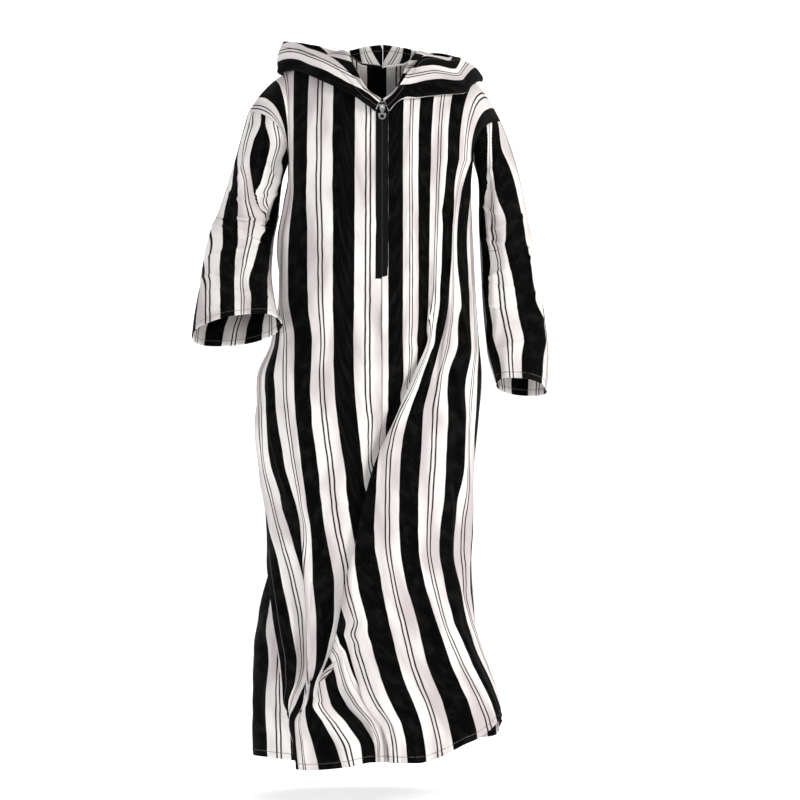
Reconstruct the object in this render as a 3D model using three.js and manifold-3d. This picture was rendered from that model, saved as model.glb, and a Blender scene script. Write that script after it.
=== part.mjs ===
// A hooded long robe with a zip neck, hanging as it is worn. Millimetres, +Z up, front towards -Y.
// The wearer's right is -X. The origin is in the neck, level with the tops of the shoulders.
import * as THREE from 'three';
import { mergeVertices } from 'three/addons/utils/BufferGeometryUtils.js';
import Module from 'manifold-3d';

const wasm = await Module();
wasm.setup();

// ---------- driving dimensions ----------
const WALL = 2;                 // cloth thickness
const SEAM_GAP = 0.3;           // between pieces at a seam
const CHEST_Z = -190;           // underarm level, where the side seams start
const SLIT_TOP_Z = -960;        // the side seams end here and the slits begin
const SQUARENESS = 2.5;         // exponent of the body's rounded sections
const SHOULDER_Y = 20;          // the shoulder seams lie this far behind the middle
const SHOULDER_ROUND = 2.2;     // exponent of the curve over the shoulders
const NECK_HALF = 78;           // neck opening, half its width at the shoulder seams
const PANEL_CHEST = 305;        // centre line to side seam, measured on the cloth
const PANEL_HEM = 378;
const HEM_Z = -1374;            // at the side seams' lower ends
const TURN_RADIUS = 7;          // of the cloth where a large fold doubles back
const FOLD_FULL = 60;           // a fold that hides this much cloth has the full turn radius
const SLIT_LEVEL = (CHEST_Z - SLIT_TOP_Z) / (CHEST_Z - HEM_Z);
const FOLD_LEAD = 90;           // cloth that dips before it slides under a fold
const FOLD_CLEAR = 6;           // no grain line is set nearer to a fold than this
const FOLD_REACH = 40;          // grain lines nearer than this are led by the fold
const FOLD_BIRTH = 30;          // a fold that hides less cloth than this still follows the grain
const SLIT_BLEND = 70;          // over this height a slit opens out
const EDGE_MARGIN = 12;         // grain lines stay this far inside the side edges
const SIDE_EASE = 0.002;        // how fast, in radians a millimetre, cloth leaves the side seams
const OUTER_GRAIN = 320;        // and those that start beyond this, a third as far

const FRONT_COLUMNS = 22;
const BACK_COLUMNS = 26;
const YOKE_ROWS = 9;            // shoulder seam to underarm
const SKIRT_ROWS = 22;          // underarm to hem
const SLEEVE_RINGS = 14;
const HOOD_STEPS = 14;

// ---------- tables ----------
// Body sections: half-width to the wearer's right and left, depth in front and behind.
const SECTIONS = rows(
  ['z', 'right', 'left', 'front', 'back'],
  [-190, 188, 181, 150, 135],
  [-240, 188, 177, 154, 132],
  [-350, 205, 181, 160, 128],
  [-470, 208, 187, 168, 126],
  [-550, 222, 193, 172, 132],
  [-625, 250, 199, 174, 140],
  [-700, 249, 193, 176, 148],
  [-860, 236, 180, 180, 160],
  [-960, 231, 178, 184, 166],
  [-1100, 243, 184, 192, 174],
  [-1260, 246, 232, 200, 182],
  [-1380, 242, 252, 206, 188],
);

// Where grain lines of the front lie across the body at each height. A column's number is its
// distance from the centre line on the cloth, r to the wearer's right and l to the left.
const GRAIN = rows(
  ['z', 'r347', 'r301', 'r255', 'r209', 'r163', 'r72', 'l0', 'l12', 'l53', 'l124', 'l216', 'l308'],
  [-190, -188, -188, -187, -184, -163, -75, 0, 12, 41, 83, 141, 178],
  [-240, -188, -188, -187, -185, -164, -75, 0, 12, 41, 82, 134, 168],
  [-350, -205, -205, -204, -199, -164, -75, 0, 12, 41, 82, 126, 157],
  [-470, -208, -208, -206, -199, -162, -76, 0, 12, 41, 81, 121, 161],
  [-550, -222, -220, -210, -190, -154, -76, 0, 12, 41, 77, 106, 162],
  [-625, -250, -244, -222, -190, -157, -74, 0, 12, 41, 57, 85, 147],
  [-700, -249, -238, -218, -186, -153, -67, 0, 13, 26, 28, 62, 150],
  [-780, -240, -232, -204, -176, -144, -57, -11, -11, -11, -10, 55, 146],
  [-860, -234, -219, -180, -162, -135, -47, -35, -35, -34, -30, 51, 141],
  [-960, -221, -193, -165, -149, -121, -57, -55, -55, -54, -30, 54, 131],
  [-1020, -212, -176, -155, -149, -113, -72, -72, -72, -71, -26, 65, 139],
  [-1100, -195, -158, -149, -147, -108, -86, -86, -86, -84, -8, 89, 155],
  [-1140, -186, -156, -149, -147, -116, -95, -80, -76, -70, 2, 99, 171],
  [-1180, -178, -153, -149, -146, -123, -102, -71, -64, -58, 12, 109, 188],
  [-1220, -178, -164, -158, -155, -141, -99, -57, -49, -44, 24, 125, 206],
  [-1260, -188, -178, -167, -158, -144, -84, -34, -29, -24, 41, 142, 222],
  [-1300, -178, -184, -176, -160, -131, -49, -4, 2, 6, 57, 153, 234],
  [-1340, -158, -172, -172, -154, -112, -27, 4, 9, 14, 65, 161, 240],
  [-1395, -128, -150, -165, -150, -92, -24, 4, 9, 15, 69, 165, 240],
);
const GRAIN_LINES = [
  ['r347', -347], ['r301', -301], ['r255', -255], ['r209', -209], ['r163', -163], ['r72', -72],
  ['l0', 0], ['l12', 12], ['l53', 53], ['l124', 124], ['l216', 216], ['l308', 308],
];

// The front panel's edge at the wearer's right slit. At the left slit it hangs just short of the side.
const RIGHT_SLIT = rows(['z', 'x'], [-960, -231], [-1020, -226], [-1100, -216], [-1180, -204],
  [-1220, -200], [-1260, -196], [-1300, -168], [-1340, -140], [-1395, -105]);
const LEFT_SLIT_SHY = 0.004;

// Large folds of the front, by height: where the crease lies, and the cloth from under to over
// that doubles back beneath it.
const HIP_FOLD = rows(
  ['z', 'crease', 'under', 'over'],
  [-480, 112, 180, 180],
  [-550, 90, 137, 154],
  [-625, 57, 88, 152],
  [-700, 26, 35, 160],
  [-780, -11, -10, 138],
  [-860, -35, -60, 116],
  [-940, -51, -89, 104],
  [-1020, -72, -121, 75],
  [-1060, -79, -127, 56],
  [-1100, -86, -132, 30],
  [-1140, -95, -133, -10],
  [-1180, -110, -138, -74],
  [-1220, -125, -138, -118],
  [-1262, -128, -132, -132],
);
const KNEE_FOLD = rows(
  ['z', 'crease', 'under', 'over'],
  [-850, -168, -244, -244],
  [-940, -159, -258, -223],
  [-1020, -154, -276, -208],
  [-1100, -149, -288, -206],
  [-1180, -148, -288, -208],
  [-1250, -154, -262, -224],
  [-1300, -170, -240, -240],
);
// Front edge at the wearer's right slit, turned under towards the hem: 0 is flat, 1 is full.
const TUCK = rows(['z', 'amount'], [-1250, 0], [-1300, 0.4], [-1340, 0.8], [-1395, 1]);
const TUCK_DEPTH = 22;

// Height of the front hem along the cloth.
const FRONT_HEM = rows(
  ['w', 'z'],
  [-378, -1374], [-209, -1390], [-150, -1384], [-72, -1372], [124, -1373], [170, -1363],
  [216, -1341], [308, -1298], [378, -1292],
);
const BACK_HEM = rows(['w', 'z'], [-378, -1374], [0, -1368], [250, -1348], [378, -1306]);

// Soft folds raised from a panel: centre line from top to bottom, half-width, height.
const FRONT_RIDGES = rows(
  ['wTop', 'zTop', 'wEnd', 'zEnd', 'half', 'height'],
  [-112, -230, -118, -900, 46, 7],
  [-200, -420, -228, -980, 30, 9],
  [-20, -520, -60, -860, 34, 6],
  [80, -210, 84, -520, 30, 6],
  [188, -240, 176, -560, 26, 13],
  [260, -560, 240, -1240, 40, 12],
  [322, -500, 330, -1200, 30, 9],
  [-150, -1130, -96, -1395, 34, 15],
  [30, -1190, 32, -1395, 24, -13],
  [108, -900, 120, -1395, 44, 9],
  [196, -1000, 190, -1395, 36, -9],
  [272, -1180, 280, -1395, 34, 10],
);
const BACK_RIDGES = rows(
  ['wTop', 'zTop', 'wEnd', 'zEnd', 'half', 'height'],
  [-210, -330, -268, -1395, 48, 15],
  [-96, -420, -130, -1395, 44, 12],
  [0, -520, 12, -1395, 40, 9],
  [110, -380, 128, -1395, 46, 14],
  [215, -300, 262, -1395, 50, 16],
);
// How far the back panel's edge comes round to the front at the wearer's right slit, in degrees,
// and at the left one, where the slit hangs slightly open.
const WRAP = rows(['z', 'right', 'left'], [-960, 0, 0], [-1020, 7, -1], [-1100, 22, -2],
  [-1180, 34, -3], [-1260, 39, -3], [-1395, 40, -3]);
const WRAP_INSET = 26;
const WRAP_BLEND = 90;

// The line over the shoulders and round the neck: place, height and depth along the cloth.
const SHOULDER = rows(
  ['w', 'x', 'z'],
  [-305, -270, -90], [-268, -243, -52], [-225, -208, -20], [-160, -156, 4], [-78, -78, 28], [0, 0, 52],
  [78, 76, 26], [160, 140, 2], [225, 182, -26], [268, 212, -62], [305, 237, -108],
);
// How far up the front and the back the neckline lies, as an angle over the shoulder.
const FRONT_NECK = rows(['w', 'angle'], [0, 25], [26, 31], [52, 50], [70, 74], [78, 90]);
const BACK_NECK = rows(['w', 'angle'], [0, 52], [40, 58], [64, 72], [78, 90]);
const ARMHOLE_BULGE = 62;       // the armhole swells this far to the front and back

// Sleeves: ring centre, half-width and half-depth, and how far the ring's plane is pitched (the
// forearm points forwards) and rolled (the arm points outwards), in degrees.
const SLEEVE_RIGHT = rows(
  ['s', 'x', 'y', 'z', 'half', 'deep', 'pitch', 'roll'],
  [0.00, -229, 10, -140, 65, 62, 0, 50],
  [0.16, -248, 8, -205, 53, 62, -2, 26],
  [0.36, -264, 12, -285, 57, 62, 0, 14],
  [0.55, -280, -6, -352, 62, 64, 8, 6],
  [0.75, -288, -62, -430, 69, 66, 20, 0],
  [0.90, -288, -116, -488, 79, 68, 25, -4],
  [1.00, -283, -150, -528, 88, 70, 25, -7],
);
const SLEEVE_LEFT = rows(
  ['s', 'x', 'y', 'z', 'half', 'deep', 'pitch', 'roll'],
  [0.00, 213, 10, -149, 50, 62, 0, 56],
  [0.14, 230, 10, -212, 42, 62, -2, 26],
  [0.32, 241, 18, -305, 49, 64, -2, 10],
  [0.52, 252, 22, -400, 55, 68, 3, 5],
  [0.72, 261, 12, -490, 59, 72, 8, 2],
  [0.88, 269, -4, -570, 60, 78, 11, -2],
  [1.00, 276, -16, -640, 50, 82, 12, -6],
);
// Soft folds round a sleeve: angle from the outer side over the front, drift along the sleeve,
// start and end, half-width in degrees and height.
const SLEEVE_RIDGES = rows(
  ['angle', 'drift', 'from', 'to', 'half', 'height'],
  [70, 40, 0.12, 0.72, 24, 9],
  [105, -30, 0.08, 0.55, 18, 8],
  [28, 30, 0.3, 0.95, 22, 7],
  [140, -10, 0.45, 1.05, 20, 5],
  [245, -20, 0.15, 0.8, 22, 8],
  [300, 30, 0.3, 1.05, 28, 8],
);

// Hood: how far out each half's pouch reaches over the shoulder and down the back, from the front
// point (u 0) round to the centre back (u 1). Angles run over the shoulder, 90 at its seam. The
// rim lies at this part of the way out, puff off the cloth below it, and stands lift higher still.
const HOOD_RIGHT = rows(
  ['u', 'wOut', 'angleOut', 'rim', 'puff', 'lift'],
  [0.00, 12, 20, 0.3, 12, 0],
  [0.14, 44, 28, 0.35, 14, 0],
  [0.30, 98, 42, 0.5, 20, 2],
  [0.46, 158, 62, 0.78, 34, 12],
  [0.60, 216, 94, 0.82, 42, 20],
  [0.76, 184, 132, 0.45, 48, 34],
  [0.90, 92, 174, 0.14, 50, 36],
  [1.00, 0, 196, 0.06, 52, 36],
);
const HOOD_LEFT = rows(
  ['u', 'wOut', 'angleOut', 'rim', 'puff', 'lift'],
  [0.00, 12, 20, 0.3, 12, 0],
  [0.14, 40, 27, 0.3, 14, 0],
  [0.30, 110, 34, 0.3, 20, 1],
  [0.46, 226, 52, 0.5, 22, 0],
  [0.60, 232, 88, 0.58, 20, 0],
  [0.76, 190, 130, 0.32, 34, 20],
  [0.90, 94, 174, 0.14, 50, 36],
  [1.00, 0, 196, 0.06, 52, 36],
);
// The hood's cloth from the neck seam to the rim: v along it, part of the way out, height.
const HOOD_LAYERS = rows(
  ['v', 'out', 'height'],
  [0.00, 0, 0],
  [0.08, 0.0, 6],
  [0.16, 0.1, 8.5],
  [0.28, 0.38, 6.5],
  [0.42, 0.8, 6.5],
  [0.50, 1.0, 6.5],
  [0.56, 1.03, 11],
  [0.62, 1.0, 15],
);
// Where the wall's lines run along the hood, closest together round its outer turn.
const HOOD_LINES = [0, 0.04, 0.08, 0.16, 0.24, 0.32, 0.41, 0.5, 0.56, 0.62, 0.72, 0.86, 1];
const HOOD_POINT = 1.6;         // the hood's front point, off the centre line
const HOOD_DROP = 3.4;          // below the underarm level a degree further is this far down

// Zip
const TAPE_WIDTH = 24;
const TAPE_END_Z = -428;
const TAPE_THICK = 1.2;
const SLIDER = { width: 13, height: 14, thick: 3.2, lugWidth: 1.6, lugGap: 4.8, pin: 1 };
const SLIDER_LEVEL = 0.86;       // how far up the neck opening the slider sits
const PULL = {
  eye: 2.7, eyeHole: 1.35, width: 4.2, link: 14, plate: 1.6, ring: 7.8, hole: 4.2, ringHeight: 13,
};

// ---------- numbers and curves ----------
function rows(columns, ...values) {
  return values.map((row) => Object.fromEntries(columns.map((name, i) => [name, row[i]])));
}

const degrees = Math.PI / 180;
const clamp = (value, low, high) => Math.min(high, Math.max(low, value));
const mix = (a, b, t) => a + (b - a) * t;

function ease(from, to, value) {
  const t = clamp((value - from) / (to - from), 0, 1);
  return t * t * (3 - 2 * t);
}

// A curve through knots that never overshoots them.
function through(knots, at) {
  const last = knots.length - 1;
  if (at <= knots[0][0]) return knots[0][1];
  if (at >= knots[last][0]) return knots[last][1];
  let i = 0;
  while (at > knots[i + 1][0]) i += 1;
  const slope = (k) => (knots[k + 1][1] - knots[k][1]) / (knots[k + 1][0] - knots[k][0]);
  const tangent = (k) => {
    if (k === 0) return slope(0);
    if (k === last) return slope(last - 1);
    const [a, b] = [slope(k - 1), slope(k)];
    return a * b <= 0 ? 0 : (2 * a * b) / (a + b);
  };
  const width = knots[i + 1][0] - knots[i][0];
  const t = (at - knots[i][0]) / width;
  const [t2, t3] = [t * t, t * t * t];
  return knots[i][1] * (2 * t3 - 3 * t2 + 1) + tangent(i) * width * (t3 - 2 * t2 + t)
    + knots[i + 1][1] * (3 * t2 - 2 * t3) + tangent(i + 1) * width * (t3 - t2);
}

function column(table, key, name, at) {
  const knots = table.map((row) => [row[key], row[name]]).sort((a, b) => a[0] - b[0]);
  return through(knots, at);
}
const atHeight = (table, name, z) => column(table, 'z', name, z);

// ---------- the body's surface ----------
const panelWidth = (z) => through(
  [[-1395, PANEL_HEM], [-1000, 366], [-550, 352], [-350, 338], [CHEST_Z, PANEL_CHEST]], z);

// A large fold: the cloth runs on under the crease, doubles back, and turns over the crease.
function foldKnots(table, z) {
  const [crease, under, over] = ['crease', 'under', 'over'].map((name) => atHeight(table, name, z));
  const hidden = over - under;
  const radius = TURN_RADIUS * Math.min(1, hidden / FOLD_FULL);
  const quarter = (Math.PI * radius) / 2;
  const run = Math.max(0.5, (hidden - 3 * quarter) / 2);
  return {
    under, over, radius, end: over + quarter,
    knots: [
      [under, crease, 4 * radius], [under + run, crease + run, 4 * radius],
      [under + run + quarter, crease + run + radius, 3 * radius],
      [under + run + 2 * quarter, crease + run, 2 * radius],
      [over - quarter, crease + radius, 2 * radius], [over, crease, radius],
      [over + quarter, crease + radius, 0],
    ],
  };
}

function activeFolds(z) {
  return [HIP_FOLD, KNEE_FOLD]
    .filter((table) => z < table[0].z - 2 && z > table.at(-1).z + 2)
    .map((table) => foldKnots(table, z))
    .filter((fold) => fold.over - fold.under > 3);
}

const sectionAngle = (x, half) => Math.asin(clamp(x / half, -1, 1));

function sectionPoint(angle, right, left, front) {
  const half = angle < 0 ? right : left;
  const across = Math.sin(angle);
  const deep = (1 - Math.abs(across) ** SQUARENESS) ** (1 / SQUARENESS);
  return [half * across, -front * deep * Math.sign(Math.cos(angle))];
}

// All that depends on height alone, worked out once for each height.
const frontCache = new Map();
function frontSection(z) {
  const key = Math.round(z * 20);
  if (!frontCache.has(key)) {
    const size = Object.fromEntries(
      ['right', 'left', 'front'].map((name) => [name, atHeight(SECTIONS, name, z)]));
    const folds = activeFolds(z);
    const edge = panelWidth(z);
    const open = ease(0, SLIT_BLEND, SLIT_TOP_Z - z);
    const right = mix(-size.right, atHeight(RIGHT_SLIT, 'x', z), open);
    const grain = GRAIN_LINES.map(([name, w]) => {
      const margin = edge - (Math.abs(w) > OUTER_GRAIN ? EDGE_MARGIN / 3 : EDGE_MARGIN);
      return [clamp(w, -margin, margin), atHeight(GRAIN, name, z)];
    });
    grain.push([-edge, right], [edge, size.left * (1 - LEFT_SLIT_SHY * open)]);
    grain.sort((a, b) => a[0] - b[0]);
    let knots = grain;
    folds.forEach((fold) => {
      const grown = ease(0, FOLD_BIRTH, fold.over - fold.under);
      const first = fold.knots[0][1];
      const last = fold.knots.at(-1)[1];
      knots = knots.filter(([w]) => w <= fold.under - FOLD_CLEAR || w >= fold.end + FOLD_CLEAR)
        .map(([w, x]) => {
          const off = w < fold.under ? fold.under - w : w - fold.end;
          const led = w < fold.under ? first - off : last + off;
          return [w, mix(x, mix(led, x, ease(FOLD_CLEAR, FOLD_REACH, off)), grown)];
        });
      knots.push(...fold.knots.map(([w, x]) => [w, mix(through(grain, w), x, grown)]));
      knots.sort((a, b) => a[0] - b[0]);
    });
    knots = knots.map(([w, x]) => {
      const most = Math.PI / 2 - SIDE_EASE * (edge - Math.abs(w));
      return [w, clamp(sectionAngle(x, x < 0 ? size.right : size.left), -most, most)];
    });
    frontCache.set(key, { ...size, folds, knots });
  }
  return frontCache.get(key);
}

function foldDepth(folds, w) {
  return folds.reduce((depth, fold) => {
    if (w > fold.end) return depth;
    if (w < fold.under) return depth + 4 * fold.radius * (1 - ease(0, FOLD_LEAD, fold.under - w));
    return depth + through(fold.knots.map(([at, , deep]) => [at, deep]), w);
  }, 0);
}

function ridgeHeight(ridges, w, z) {
  return ridges.reduce((height, ridge) => {
    const along = (ridge.zTop - z) / (ridge.zTop - ridge.zEnd);
    if (along < 0) return height;
    const across = (w - mix(ridge.wTop, ridge.wEnd, along)) / ridge.half;
    return height + ridge.height * ease(0, 0.3, along) * Math.exp(-across * across);
  }, 0);
}

function frontPoint(w, z) {
  const section = frontSection(z);
  const angle = through(section.knots, w);
  const [x, y] = sectionPoint(angle, section.right, section.left, section.front);
  const tuck = atHeight(TUCK, 'amount', z) * TUCK_DEPTH * ease(225, 345, -w);
  const calm = ease(0, 70, panelWidth(z) - Math.abs(w));
  const depth = foldDepth(section.folds, w) + tuck - calm * ridgeHeight(FRONT_RIDGES, w, z);
  return [x, y + depth * Math.max(0.25, Math.cos(angle)), z];
}

function backPoint(w, z) {
  const [right, left, depth] = ['right', 'left', 'back'].map((name) => atHeight(SECTIONS, name, z));
  const front = atHeight(SECTIONS, 'front', z);
  const side = w < 0 ? 'right' : 'left';
  const sweep = 90 + atHeight(WRAP, side, z);
  const angle = (w / panelWidth(z)) * sweep * degrees;
  const inset = WRAP_INSET * ease(0, WRAP_BLEND, SLIT_TOP_Z - z)
    * ease(0.72, 0.98, Math.abs(w) / panelWidth(z));
  const reach = Math.abs(angle) > Math.PI / 2 ? front : depth;
  const [x, y] = sectionPoint(angle, right - (w < 0 ? inset : 0), left, reach);
  const calm = ease(0, 80, panelWidth(z) - Math.abs(w));
  const raised = calm * ridgeHeight(BACK_RIDGES, w, z);
  return [x + raised * Math.sin(angle), -y + raised * Math.cos(angle), z];
}

// Above the underarm the cloth runs up over the shoulder: 0 degrees at the underarm level in
// front, 90 on the shoulder line, 180 at that level behind.
function yokePoint(w, angle) {
  const front = angle <= 90;
  const below = front ? frontPoint(w, CHEST_Z) : backPoint(w, CHEST_Z);
  const over = front ? angle : 180 - angle;
  const [s, c] = [Math.sin(over * degrees), Math.cos(over * degrees)];
  const [up, out] = [s ** (2 / SHOULDER_ROUND), Math.max(0, c) ** (2 / SHOULDER_ROUND)];
  const edge = ease(0.45, 1, Math.abs(w) / PANEL_CHEST);
  const bulge = ARMHOLE_BULGE * Math.sin(2 * over * degrees) * edge * (front ? -1 : 1);
  const x = mix(below[0], column(SHOULDER, 'w', 'x', w), 1 - c);
  const z = mix(CHEST_Z, column(SHOULDER, 'w', 'z', w), up);
  return [x, mix(SHOULDER_Y, below[1], out) + bulge, z];
}

// level 1 is the top edge, 0 the underarm level and -1 the hem.
function panelPoint(face, w, level) {
  const front = face === 'front';
  if (level < 0) {
    const hem = column(front ? FRONT_HEM : BACK_HEM, 'w', 'z', w);
    const z = mix(CHEST_Z, HEM_Z, -level) + (hem - HEM_Z) * ease(SLIT_LEVEL, 1, -level);
    return (front ? frontPoint : backPoint)(w, z);
  }
  const top = column(front ? FRONT_NECK : BACK_NECK, 'w', 'angle', Math.abs(w));
  return yokePoint(w, front ? top * level : 180 - top * level);
}

const clothWidth = (level) => (level > 0 ? PANEL_CHEST : panelWidth(mix(CHEST_Z, HEM_Z, -level)));

const sub = (a, b) => [a[0] - b[0], a[1] - b[1], a[2] - b[2]];
const along = (a, b, k) => [a[0] + b[0] * k, a[1] + b[1] * k, a[2] + b[2] * k];
const cross = (a, b) => [a[1] * b[2] - a[2] * b[1], a[2] * b[0] - a[0] * b[2], a[0] * b[1] - a[1] * b[0]];
const unit = (a) => {
  const size = Math.hypot(...a) || 1;
  return [a[0] / size, a[1] / size, a[2] / size];
};

// Outward normal of a surface given as a function of two parameters.
function normalOf(surface, u, v, du, dv) {
  const across = sub(surface(u + du, v), surface(u - du, v));
  const down = sub(surface(u, v - dv), surface(u, v + dv));
  return unit(cross(down, across));
}

// ---------- walls ----------
// A closed wall from a grid of [outer, inner] point pairs. A ring wall's last column joins its
// first, and its two ends are open.
function wall(grid, ring = false) {
  const [across, down] = [grid[0].length, grid.length];
  const positions = grid.flat().flatMap(([outer, inner]) => [...outer, ...inner]);
  const index = [];
  const outer = (row, col) => 2 * (row * across + (col % across));
  const inner = (row, col) => outer(row, col) + 1;
  const quad = (a, b, c, d) => index.push(a, b, c, a, c, d);
  const lastCol = ring ? across : across - 1;
  for (let row = 0; row < down - 1; row += 1) {
    for (let col = 0; col < lastCol; col += 1) {
      quad(outer(row, col), outer(row + 1, col), outer(row + 1, col + 1), outer(row, col + 1));
      quad(inner(row, col), inner(row, col + 1), inner(row + 1, col + 1), inner(row + 1, col));
    }
    if (!ring) {
      quad(outer(row, 0), inner(row, 0), inner(row + 1, 0), outer(row + 1, 0));
      quad(outer(row, lastCol), outer(row + 1, lastCol), inner(row + 1, lastCol), inner(row, lastCol));
    }
  }
  for (let col = 0; col < lastCol; col += 1) {
    quad(outer(0, col), outer(0, col + 1), inner(0, col + 1), inner(0, col));
    quad(outer(down - 1, col), inner(down - 1, col), inner(down - 1, col + 1), outer(down - 1, col + 1));
  }
  const geometry = new THREE.BufferGeometry();
  geometry.setAttribute('position', new THREE.Float32BufferAttribute(positions, 3));
  geometry.setIndex(index);
  geometry.computeVertexNormals();
  return geometry;
}

const pair = (point, normal, thick = WALL, lift = 0) => [
  along(point, normal, lift), along(point, normal, lift - thick)];

const mesh = (name, geometry, material) => Object.assign(new THREE.Mesh(geometry, material), { name });

// ---------- armholes and sleeves ----------
const RING_POINTS = 2 * YOKE_ROWS;
const UNDERARM_EASE = 5;        // the seam gap is wider by this share where the walls meet sharply
const SLEEVE_JOIN = 0.2;        // over this part of its length a sleeve takes up its own shape
const RIDGE_CREST = 0.62;       // a sleeve fold keeps this part of its swell down to its end

// Point k of the armhole, from the shoulder seam down the front and up the back.
function armholePoint(side, turn) {
  const level = Math.abs(1 - turn / 180);
  return panelPoint(turn <= 180 ? 'front' : 'back', side * PANEL_CHEST, level);
}

function sleeveFrame(table, side, s) {
  const value = (name) => column(table, 's', name, s);
  const [pitch, roll] = [value('pitch') * degrees, value('roll') * degrees];
  return {
    centre: [value('x'), value('y'), value('z')],
    half: value('half'),
    deep: value('deep'),
    outward: [side * Math.cos(roll), 0, Math.sin(roll)],
    forward: [0, -Math.cos(pitch), Math.sin(pitch)],
  };
}

function sleevePoint(table, side, turn, s) {
  const { centre, half, deep, outward, forward } = sleeveFrame(table, side, s);
  const [c, f] = [Math.cos(turn * degrees), Math.sin(turn * degrees)];
  const raised = SLEEVE_RIDGES.reduce((height, ridge) => {
    const place = (s - ridge.from) / (ridge.to - ridge.from);
    if (place < 0 || place > 1) return height;
    const off = ((turn - ridge.angle - ridge.drift * place + 540) % 360) - 180;
    const swell = Math.sin(Math.PI * Math.min(place, RIDGE_CREST));
    return height + ridge.height * swell * Math.exp(-((off / ridge.half) ** 2));
  }, 0);
  const tube = along(along(centre, outward, (half + raised) * c), forward, (deep + raised) * f);
  const joined = clamp(s / SLEEVE_JOIN, 0, 1);
  const share = joined * (2 - joined);
  const root = armholePoint(side, turn % 360);
  return [0, 1, 2].map((i) => mix(root[i], tube[i], share));
}

// At the armhole the body's and the sleeve's walls share a mitred normal.
function armholeNormal(side, turn) {
  const table = side < 0 ? SLEEVE_RIGHT : SLEEVE_LEFT;
  const { centre } = sleeveFrame(table, side, 0);
  const root = armholePoint(side, turn);
  const next = sleeveFrame(table, side, SLEEVE_JOIN).centre;
  const axis = unit(sub(next, centre));
  const spoke = sub(root, centre);
  const reach = spoke[0] * axis[0] + spoke[1] * axis[1] + spoke[2] * axis[2];
  const radial = unit(along(spoke, axis, -reach));
  const level = Math.abs(1 - turn / 180);
  const body = level > 0.999 ? shoulderNormal(side * (PANEL_CHEST - 4))
    : bodyNormal(turn <= 180 ? 'front' : 'back', side * (PANEL_CHEST - 4), level);
  return unit(along(radial, body, 1));
}

function sleeveWall(table, side) {
  const grid = [];
  for (let ring = 0; ring <= SLEEVE_RINGS; ring += 1) {
    const s = ring / SLEEVE_RINGS;
    const row = [];
    for (let k = 0; k < RING_POINTS; k += 1) {
      const turn = (360 * k) / RING_POINTS;
      const surface = (a, b) => sleevePoint(table, side, (a + 360) % 360, b);
      const point = sleevePoint(table, side, turn, s);
      if (ring === 0) {
        const away = unit(sub(sleevePoint(table, side, turn, 0.1), point));
        const gap = SEAM_GAP * (1 + UNDERARM_EASE * Math.sin((turn / 2) * degrees) ** 4);
        row.push(pair(along(point, away, gap), armholeNormal(side, turn)));
      } else {
        const normal = normalOf(surface, turn, s, -side * 3, -0.01);
        row.push(pair(point, normal));
      }
    }
    grid.push(side < 0 ? row : row.reverse());
  }
  return wall(grid, true);
}

// ---------- body panels ----------
function bodyNormal(face, w, level) {
  const surface = (a, b) => panelPoint(face, a, Math.min(b, 1));
  const turned = face === 'front' ? 1 : -1;
  return normalOf(surface, w, level, turned * 1.5, 0.006);
}

// The seam line over the shoulder sets the normal of the cloth on both sides of it.
function shoulderNormal(w) {
  const slope = (name) => column(SHOULDER, 'w', name, w + 2) - column(SHOULDER, 'w', name, w - 2);
  return unit([-slope('z'), 0, slope('x')]);
}

function edgeNormal(face, w, level) {
  const edge = clothWidth(level);
  const atSide = Math.abs(w) > edge - 1;
  const slit = level < -SLIT_LEVEL;
  const turn = 180 + 180 * (face === 'front' ? -level : level);
  if (atSide && level >= 0) return armholeNormal(Math.sign(w), turn);
  if (level === 1 && Math.abs(w) > NECK_HALF) return shoulderNormal(w);
  if (atSide && !slit) return [Math.sign(w), 0, 0];
  return bodyNormal(face, w, level);
}

// Columns crowd where a fold turns over, and a little towards the sides.
const CROWD = {
  firstTurn: { extra: 2.6, reach: 24 },
  secondTurn: { extra: 3.2, reach: 22 },
  fullAt: 40,
  atSides: 0.6,
  samples: 400,
};

function columnsAt(from, to, count, z) {
  const folds = activeFolds(z);
  const crowd = (off, { extra, reach }) => extra * Math.exp(-((off / reach) ** 2));
  const density = (w) => folds.reduce((sum, fold) => {
    const strength = Math.min(1, (fold.over - fold.under) / CROWD.fullAt);
    const first = crowd(w - (fold.under + fold.over) / 2, CROWD.firstTurn);
    return sum + strength * (crowd(w - fold.over, CROWD.secondTurn) + first);
  }, 1 + CROWD.atSides * ease(0.8, 1, Math.abs(w) / panelWidth(z)));
  const samples = CROWD.samples;
  const sums = [0];
  for (let i = 0; i < samples; i += 1) sums.push(sums[i] + density(mix(from, to, (i + 0.5) / samples)));
  const places = [];
  for (let c = 0, i = 0; c <= count; c += 1) {
    const goal = (sums[samples] * c) / count;
    while (i < samples - 1 && sums[i + 1] < goal) i += 1;
    places.push(mix(from, to, clamp((i + (goal - sums[i]) / (sums[i + 1] - sums[i])) / samples, 0, 1)));
  }
  return places;
}

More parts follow.
